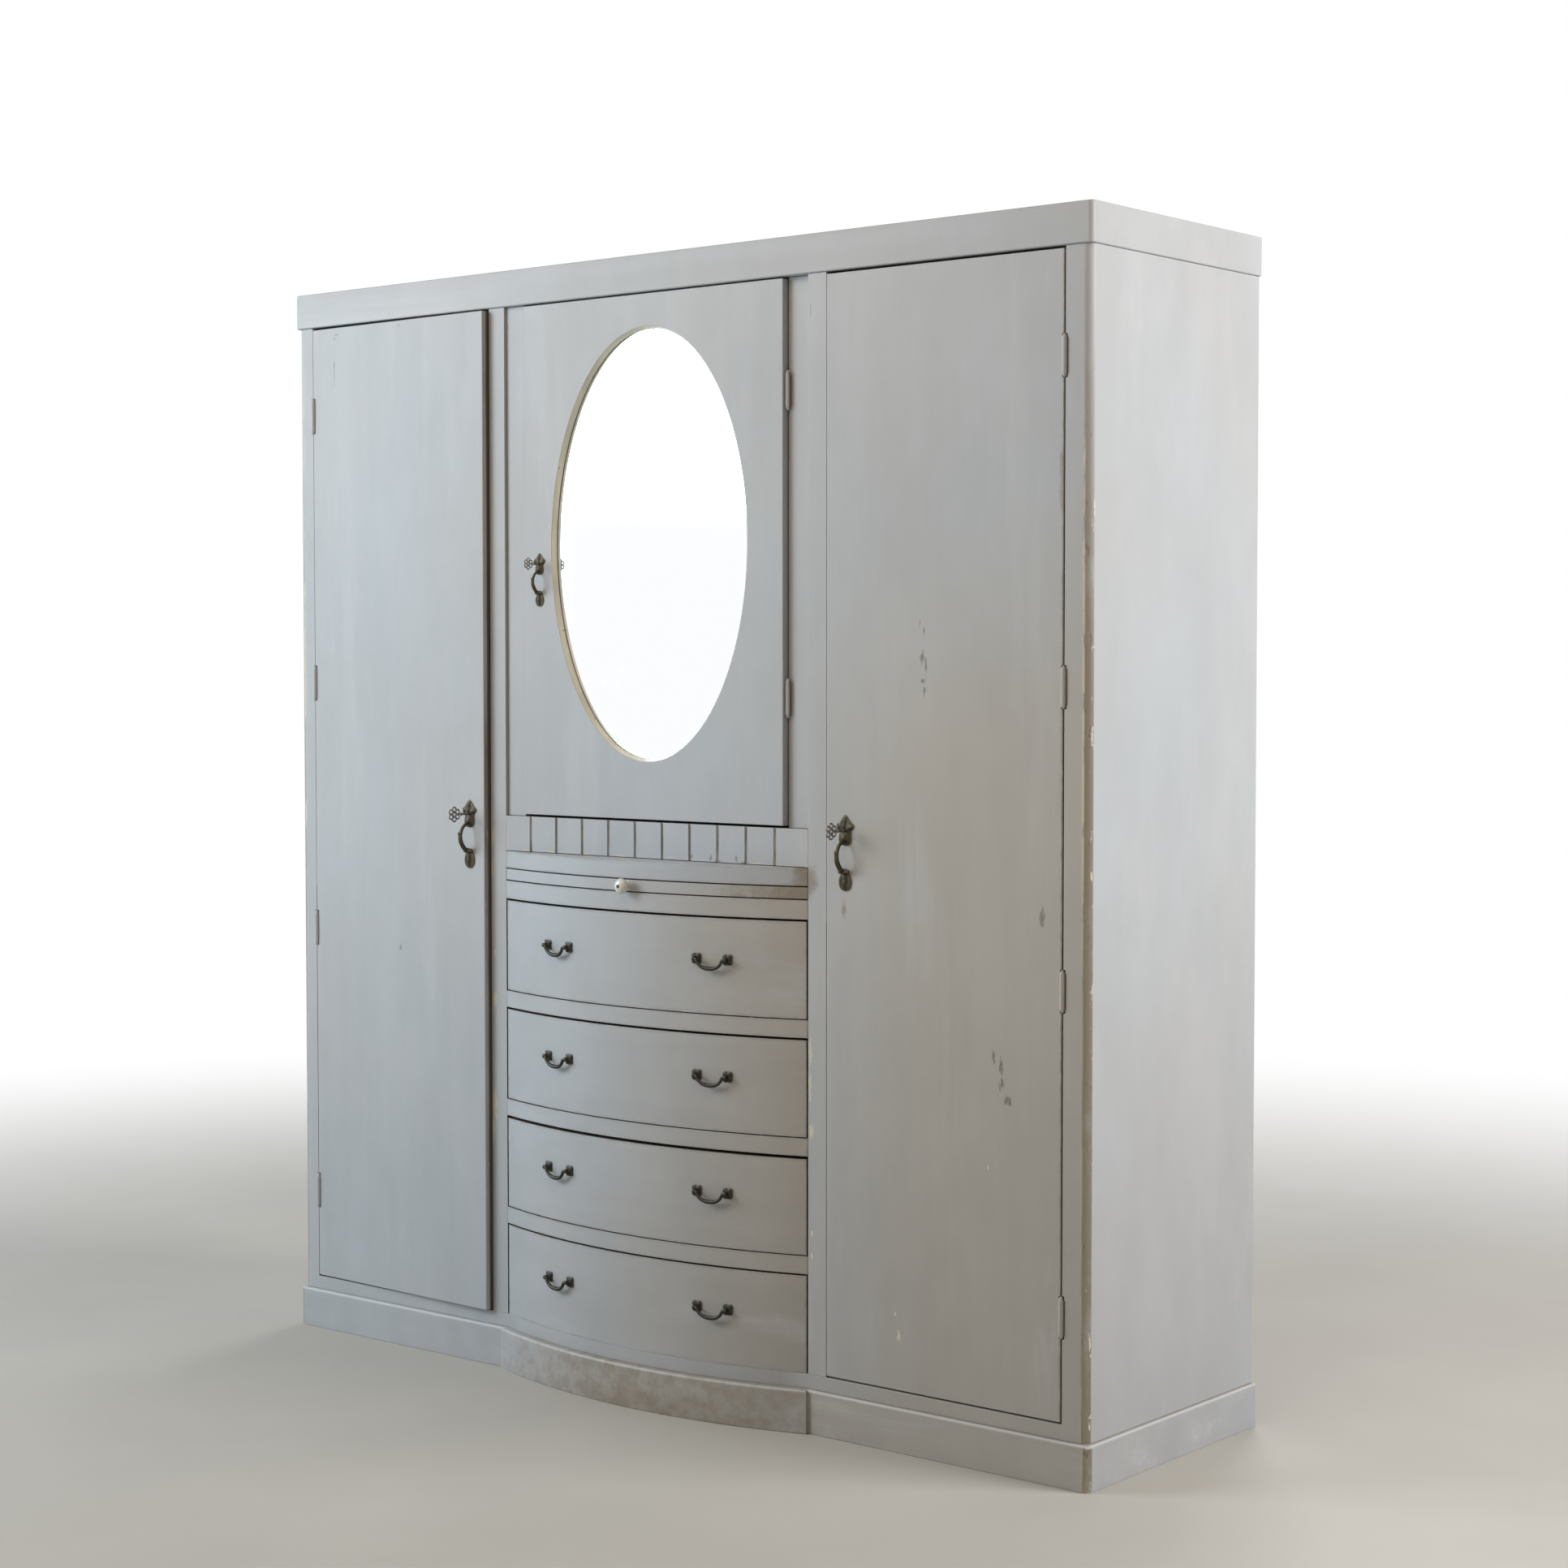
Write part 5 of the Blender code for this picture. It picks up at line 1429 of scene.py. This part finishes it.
class MirrorDoorOperator(bpy.types.Operator):
    """Makes the middle door with its oval rim, glass and wooden backing"""

    bl_idname = "linen_cupboard.mirror_door"
    bl_label = "Mirror door"

    # Finishes of the strips that follow the door's painted face, from the rim inwards and round to its edge
    STRIPS = {2: 1, 3: 2, 4: 4, 5: 4, 6: 4, 7: 3}
    EDGE_STRIP = 7
    SQUARE_EDGE = 1.2
    LIP_WIDTH = 0.0007
    LIP_DEPTH = 0.0006
    GLASS_PLAY = 0.0003
    GLASS_BEHIND = 0.0001
    GLASS_ARRIS = 0.0008

    def execute(self, context):
        settings = context.scene.cupboard_mirror
        self.make_door(context.scene, settings)
        self.make_glass(settings)
        wood = timber("timber_upright", UPRIGHT)
        aside = (settings.aside, 0.0, 0.0)
        make_board("mirror_backing", [wood], "mirror_door", "bare_wood", nudge=lambda *place: aside)
        return {"FINISHED"}

    def middle(self, settings):
        """The oval's middle, between the glass's corners but a little aside."""
        corner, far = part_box("mirror_glass")
        return (corner + far) / 2 + Vector((settings.aside, 0.0, 0.0))

    def make_door(self, scene, settings):
        corner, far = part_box("mirror_door")
        corner.z += settings.lower_gap
        corner.x -= settings.left_over
        middle = self.middle(settings)
        ends = [(x - middle.x, z - middle.z) for x in (corner.x, far.x) for z in (corner.z, far.z)]
        angles = sorted({*turns(settings.steps), *(math.atan2(z, x) % math.tau for x, z in ends)})

        def row(y, reach):
            points = []
            for angle in angles:
                across = math.cos(angle)
                up = math.sin(angle)
                out = reach(across, up)
                points.append((middle.x + out * across, y, middle.z + out * up))
            return points

        def ring(grow, y):
            return row(y, lambda across, up: 1 / math.hypot(
                across / (settings.rim_across + grow), up / (settings.rim_up + grow),
            ))

        def edge(y):
            return row(y, lambda across, up: min(
                abs(((far.x if across > 0 else corner.x) - middle.x) / (across or TIP)),
                abs(((far.z if up > 0 else corner.z) - middle.z) / (up or TIP)),
            ))

        front = corner.y
        slope = -settings.slope_width
        glass = front + settings.glass_depth
        rows = [edge(front), ring(self.LIP_WIDTH, front), ring(0.0, front + self.LIP_DEPTH)]
        rows += [ring(slope, front + settings.slope_depth), ring(slope, glass)]
        rows += [ring(settings.lap, glass), ring(settings.lap, far.y), edge(far.y)]
        shape = bmesh.new()
        strips = add_loft(shape, rows, along=True)
        bmesh.ops.recalc_face_normals(shape, faces=shape.faces)
        for number, finish in self.STRIPS.items():
            for face in strips[number]:
                hinge_side = number == self.EDGE_STRIP and face.normal.x >= FACING
                face.material_index = 0 if hinge_side else finish
        sharp = [link for link in shape.edges if link.calc_face_angle() > self.SQUARE_EDGE]
        outer = [link for link in sharp if self.on_edge(link, corner, far)]
        round_edges(shape, outer, settings.edge_round, steps=3)
        # the rim's deepest strip, by the glass, gets soiling and painted shade
        rim_grime = dark_mottled("rim_grime", scene.cupboard_fittings.rim_grime)
        finishes = [paint("paint_mirror_door", UPRIGHT, wear=0.8), gilt_rim("gilt_rim"), rim_grime]
        # the closing edges: worn paint with painted shade deep in the gap
        finishes += [rubbed_edge("rubbed_edge"), timber("timber_upright", UPRIGHT)]
        make_piece("mirror_door_painted", shape, finishes, "mirror_door", ["mirror_door"])

    def on_edge(self, link, corner, far):
        """Whether an edge lies on the door's outside."""
        for place in (vertex.co for vertex in link.verts):
            beside = min(place.x - corner.x, far.x - place.x, place.z - corner.z, far.z - place.z)
            if beside > WELD:
                return False
        return True

    def make_glass(self, settings):
        middle = self.middle(settings)
        across = settings.rim_across + settings.lap - self.GLASS_PLAY
        up = settings.rim_up + settings.lap - self.GLASS_PLAY
        front = low("mirror_door").y + settings.glass_depth + self.GLASS_BEHIND
        back = high("mirror_glass").y
        rings = [(TIP, front), (0.5, front), (0.997, front)]
        rings += [(1.0, front + self.GLASS_ARRIS), (1.0, back), (TIP, back)]
        rows = []
        for share, y in rings:
            rows.append([
                (middle.x + share * across * math.cos(turn), y, middle.z + share * up * math.sin(turn))
                for turn in turns(settings.steps)
            ])
        shape = bmesh.new()
        add_loft(shape, rows)
        finish = mirror_glass("flecked_mirror", middle, (across, up))
        body = "mirror_door"
        make_piece("mirror_silvered", shape, [finish], body, ["mirror_glass"], crease=20.0)


class HingesOperator(bpy.types.Operator):
    """Makes the painted-over butt hinges"""

    bl_idname = "linen_cupboard.hinges"
    bl_label = "Hinges"

    KNUCKLES = 5
    NICK = 0.0004
    END = 0.007
    # Share of the radius, and distance from the tip, along a knuckle's tapering end
    TAPER = ((0.35, 0.0004), (0.75, END * 0.45))
    WAIST = 0.97
    SLOT_WIDTH = 0.0016
    SLOT_SLANT = 0.006
    SLOT_PROUD = 0.0002
    SLOT_THICK = 0.0006

    def execute(self, context):
        names = [f"{side}_hinge_{number}" for side in SIDES for number in range(1, 5)]
        finishes = [paint("paint_hinge", UPRIGHT), gap_grime()]
        for node in [*names, "mirror_hinge_1", "mirror_hinge_2"]:
            corner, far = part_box(node)
            radius = (far.x - corner.x) / 2
            middle = (corner.x + far.x) / 2 - (POST_REACH if corner.x > DRAWER_HALF else 0.0)
            shape = bmesh.new()
            place = Matrix.Translation((middle, corner.y + radius, corner.z))
            add_turned(shape, self.barrel(radius, far.z - corner.z), sides=24, place=place)
            painted = len(shape.faces)
            # painted shade: a dark sheet beside the knuckle for the slot in the post
            self.add_slot_shade(shape, middle, radius, corner, far)
            shape.faces.ensure_lookup_table()
            for face in shape.faces[painted:]:
                face.material_index = 1
            make_piece(f"{node}_painted", shape, finishes, "case", [node], crease=50.0)
        return {"FINISHED"}

    def add_slot_shade(self, shape, middle, radius, corner, far):
        """A dark sheet just proud of the post beside the knuckle, painted shade of the slot cut for it in the
        post, with slanted ends.
        """
        side = middle + math.copysign(radius + self.SLOT_WIDTH, middle)
        front = corner.y + radius - self.SLOT_PROUD
        profile = [(middle, corner.z), (side, corner.z + self.SLOT_SLANT)]
        profile += [(side, far.z - self.SLOT_SLANT), (middle, far.z)]
        add_loft(shape, [[(x, y, z) for x, z in profile] for y in (front, front + self.SLOT_THICK)])

    def barrel(self, radius, length):
        """A knuckle thick with paint: hardly a nick between its rings, and long tapering ends."""
        taper = [(TIP, 0.0), *((radius * share, height) for share, height in self.TAPER)]
        profile = list(taper)
        waist = radius * self.WAIST
        edges = spread(self.END, length - self.END, self.KNUCKLES)
        for foot, top in zip(edges, edges[1:]):
            profile += [(waist, foot), (radius, foot + self.NICK), (radius, top - self.NICK), (waist, top)]
        return profile + [(r, length - height) for r, height in reversed(taper)]


def lock_place(door):
    """The frame of a door's lock: right, up and out from the key hole, and its scale."""
    joint = JOINTS[f"{door}_door_key_turn"]
    corner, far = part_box(f"{door}_door_handle")
    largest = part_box("right_door_handle")
    scale = (far.z - corner.z) / (largest[1].z - largest[0].z)
    return facing(joint["pos_m"], joint["axis"]) @ Matrix.Scale(scale, 4)


class HandlesOperator(bpy.types.Operator):
    """Makes the three cast handles with their leaf plates"""

    bl_idname = "linen_cupboard.handles"
    bl_label = "Handles"

    # Right half of the lock plate's leaf outline, from its tip to its foot, about the key hole
    PLATE_LEAF = (
        (0.0, 0.0248), (0.0062, 0.0190), (0.0104, 0.0138), (0.0136, 0.0112), (0.0170, 0.0088),
        (0.0160, 0.0034), (0.0124, 0.0004), (0.0112, -0.0052), (0.0122, -0.0118), (0.0116, -0.0184),
        (0.0076, -0.0230), (0.0, -0.0244),
    )
    # The same for the lower plate, about its middle
    FOOT_LEAF = (
        (0.0, 0.0140), (0.0070, 0.0128), (0.0104, 0.0070), (0.0124, 0.0), (0.0112, -0.0090),
        (0.0066, -0.0148), (0.0, -0.0166),
    )
    FOOT_DROP = 0.0815
    # Hills and hollows of both plates, alike on both sides: height, place aside and up, width and length
    PLATE_HILLS = (
        (0.0040, 0.0, -0.0130, 0.0066, 0.0078), (0.0022, 0.0132, 0.0058, 0.0030, 0.0030),
        (0.0013, 0.0, 0.0165, 0.0016, 0.0070), (-0.0010, 0.0045, 0.0125, 0.0014, 0.0060),
        (-0.0012, 0.0075, -0.0030, 0.0020, 0.0040), (-0.0030, 0.0, 0.0010, 0.0022, 0.0046),
    )
    FOOT_HILLS = ((0.0022, 0.0, 0.0, 0.0020, 0.0130), (-0.0022, 0.0056, -0.0020, 0.0020, 0.0085))
    # Middle line and radius of the grip between the plates, of its spur, and of half the roll at its foot
    GRIP = (
        (0.0, -0.0150, 0.0050, 0.0034), (0.0, -0.0190, 0.0110, 0.0028), (0.0, -0.0262, 0.0188, 0.0029),
        (0.0, -0.0380, 0.0236, 0.0035), (0.0, -0.0500, 0.0222, 0.0040), (0.0, -0.0610, 0.0150, 0.0040),
        (0.0, -0.0680, 0.0050, 0.0034),
    )
    SPUR = ((0.0, -0.0400, 0.0240, 0.0030), (0.0, -0.0365, 0.0268, 0.0020), (0.0, -0.0325, 0.0284, 0.0007))
    ROLL = ((-0.0098, -0.0668, 0.0046, 0.0030), (-0.0058, -0.0664, 0.0056, 0.0043))
    ROLL_MIDDLE = (0.0, -0.0664, 0.0060, 0.0048)
    PLATE_THICK = 0.0034
    PLATE_FALL = 0.0014
    FOOT_THICK = 0.0022
    FOOT_DOME = 0.0024

    def execute(self, context):
        fittings = context.scene.cupboard_fittings
        metal = bronze("handle_bronze", fittings.bronze, fittings.rubbed_and_lit)
        for door in DOORS:
            place = lock_place(door)
            shape = bmesh.new()
            add_relief(shape, self.leaf(self.PLATE_LEAF), self.plate_height, sink=0.0, rings=12, place=place)
            foot = place @ Matrix.Translation((0.0, -self.FOOT_DROP, 0.0))
            add_relief(shape, self.leaf(self.FOOT_LEAF), self.foot_height, sink=0.0, rings=9, place=foot)
            add_bar(shape, through(self.GRIP, steps=8), sides=16, place=place)
            roll = through([*self.ROLL, self.ROLL_MIDDLE, *mirrored(self.ROLL)], steps=4)
            add_bar(shape, roll, sides=12, place=place)
            add_bar(shape, through(self.SPUR, steps=4), sides=10, place=place)
            node = f"{door}_door_handle"
            make_piece(f"{node}_cast", shape, [metal], f"{door}_door", [node], crease=70.0)
        return {"FINISHED"}

    def leaf(self, half_outline):
        whole = [*half_outline, *mirrored(half_outline[1:-1])]
        return [tuple(point) for point in through(whole, steps=4, closed=True)]

    def hills(self, x, y, hills):
        """How far the hills and hollows raise a place."""
        raised = 0.0
        for height, aside, up, width, length in hills:
            raised += height * math.exp(-(((abs(x) - aside) / width) ** 2) - ((y - up) / length) ** 2)
        return raised

    def plate_height(self, x, y, share):
        return self.PLATE_THICK - self.PLATE_FALL * share**4 + self.hills(x, y, self.PLATE_HILLS)

    def foot_height(self, x, y, share):
        return self.FOOT_THICK + self.FOOT_DOME * (1 - share**2) + self.hills(x, y, self.FOOT_HILLS)


class KeysOperator(bpy.types.Operator):
    """Makes the three keys with pierced bows"""

    bl_idname = "linen_cupboard.keys"
    bl_label = "Keys"

    # Radius and distance out along the shank
    SHANK = (
        (TIP, -0.0150), (0.0021, -0.0150), (0.0021, 0.0060), (0.0030, 0.0070), (0.0030, 0.0082),
        (0.0021, 0.0092), (0.0020, 0.0180), (0.0031, 0.0200), (0.0031, 0.0216), (0.0019, 0.0232),
        (0.0018, 0.0256), (TIP, 0.0258),
    )
    BOW_OUT = 0.038
    PETALS = 6
    PETAL_REACH = 0.0088
    PETAL_RADIUS = 0.0041
    EYE_RADIUS = 0.0036
    WIRE = 0.0015
    RING_STEPS = 20

    def execute(self, context):
        metal = iron("old_iron")
        for door in DOORS:
            place = lock_place(door)
            shape = bmesh.new()
            self.add_ring(shape, self.BOW_OUT, 0.0, self.EYE_RADIUS, place)
            for turn in turns(self.PETALS):
                out = self.BOW_OUT + self.PETAL_REACH * math.cos(math.pi / 2 + turn)
                up = self.PETAL_REACH * math.sin(math.pi / 2 + turn)
                self.add_ring(shape, out, up, self.PETAL_RADIUS, place)
            add_turned(shape, self.SHANK, sides=16, place=place)
            node = f"{door}_door_key"
            make_piece(f"{node}_steel", shape, [metal], node, [node], crease=60.0)
        return {"FINISHED"}

    def add_ring(self, shape, out, up, radius, place):
        line = []
        for turn in turns(self.RING_STEPS):
            line.append(Vector((0.0, up + radius * math.sin(turn), out + radius * math.cos(turn), self.WIRE)))
        add_bar(shape, line, sides=8, place=place, closed=True)


OPERATORS = (
    StageOperator,
    CarcassOperator,
    ShelvesOperator,
    ChestOperator,
    DrawersOperator,
    PullsOperator,
    SlideOperator,
    WingDoorsOperator,
    MirrorDoorOperator,
    HingesOperator,
    HandlesOperator,
    KeysOperator,
)


class CupboardPanel(bpy.types.Panel):
    """Lists the cupboard's groups of pieces and the values they are made from"""

    bl_idname = "VIEW3D_PT_linen_cupboard"
    bl_label = "Linen cupboard"
    bl_space_type = "VIEW_3D"
    bl_region_type = "UI"
    bl_category = "Cupboard"

    def draw(self, context):
        for operator in OPERATORS:
            self.layout.operator(operator.bl_idname)
        for name, group in SETTINGS.items():
            box = self.layout.box()
            for value in group.__annotations__:
                box.prop(getattr(context.scene, name), value)


def register():
    for group in SETTINGS.values():
        bpy.utils.register_class(group)
    for name, group in SETTINGS.items():
        setattr(bpy.types.Scene, name, PointerProperty(type=group))
    for operator in OPERATORS:
        bpy.utils.register_class(operator)
    bpy.utils.register_class(CupboardPanel)


def unregister():
    bpy.utils.unregister_class(CupboardPanel)
    for operator in reversed(OPERATORS):
        bpy.utils.unregister_class(operator)
    for name in SETTINGS:
        delattr(bpy.types.Scene, name)
    for group in reversed(SETTINGS.values()):
        bpy.utils.unregister_class(group)


def main():
    register()
    bpy.ops.linen_cupboard.stage()
    bpy.ops.linen_cupboard.carcass()
    bpy.ops.linen_cupboard.shelves()
    bpy.ops.linen_cupboard.chest()
    bpy.ops.linen_cupboard.drawers()
    bpy.ops.linen_cupboard.pulls()
    bpy.ops.linen_cupboard.writing_slide()
    bpy.ops.linen_cupboard.wing_doors()
    bpy.ops.linen_cupboard.mirror_door()
    bpy.ops.linen_cupboard.hinges()
    bpy.ops.linen_cupboard.handles()
    bpy.ops.linen_cupboard.keys()


if __name__ == "__main__":
    main()
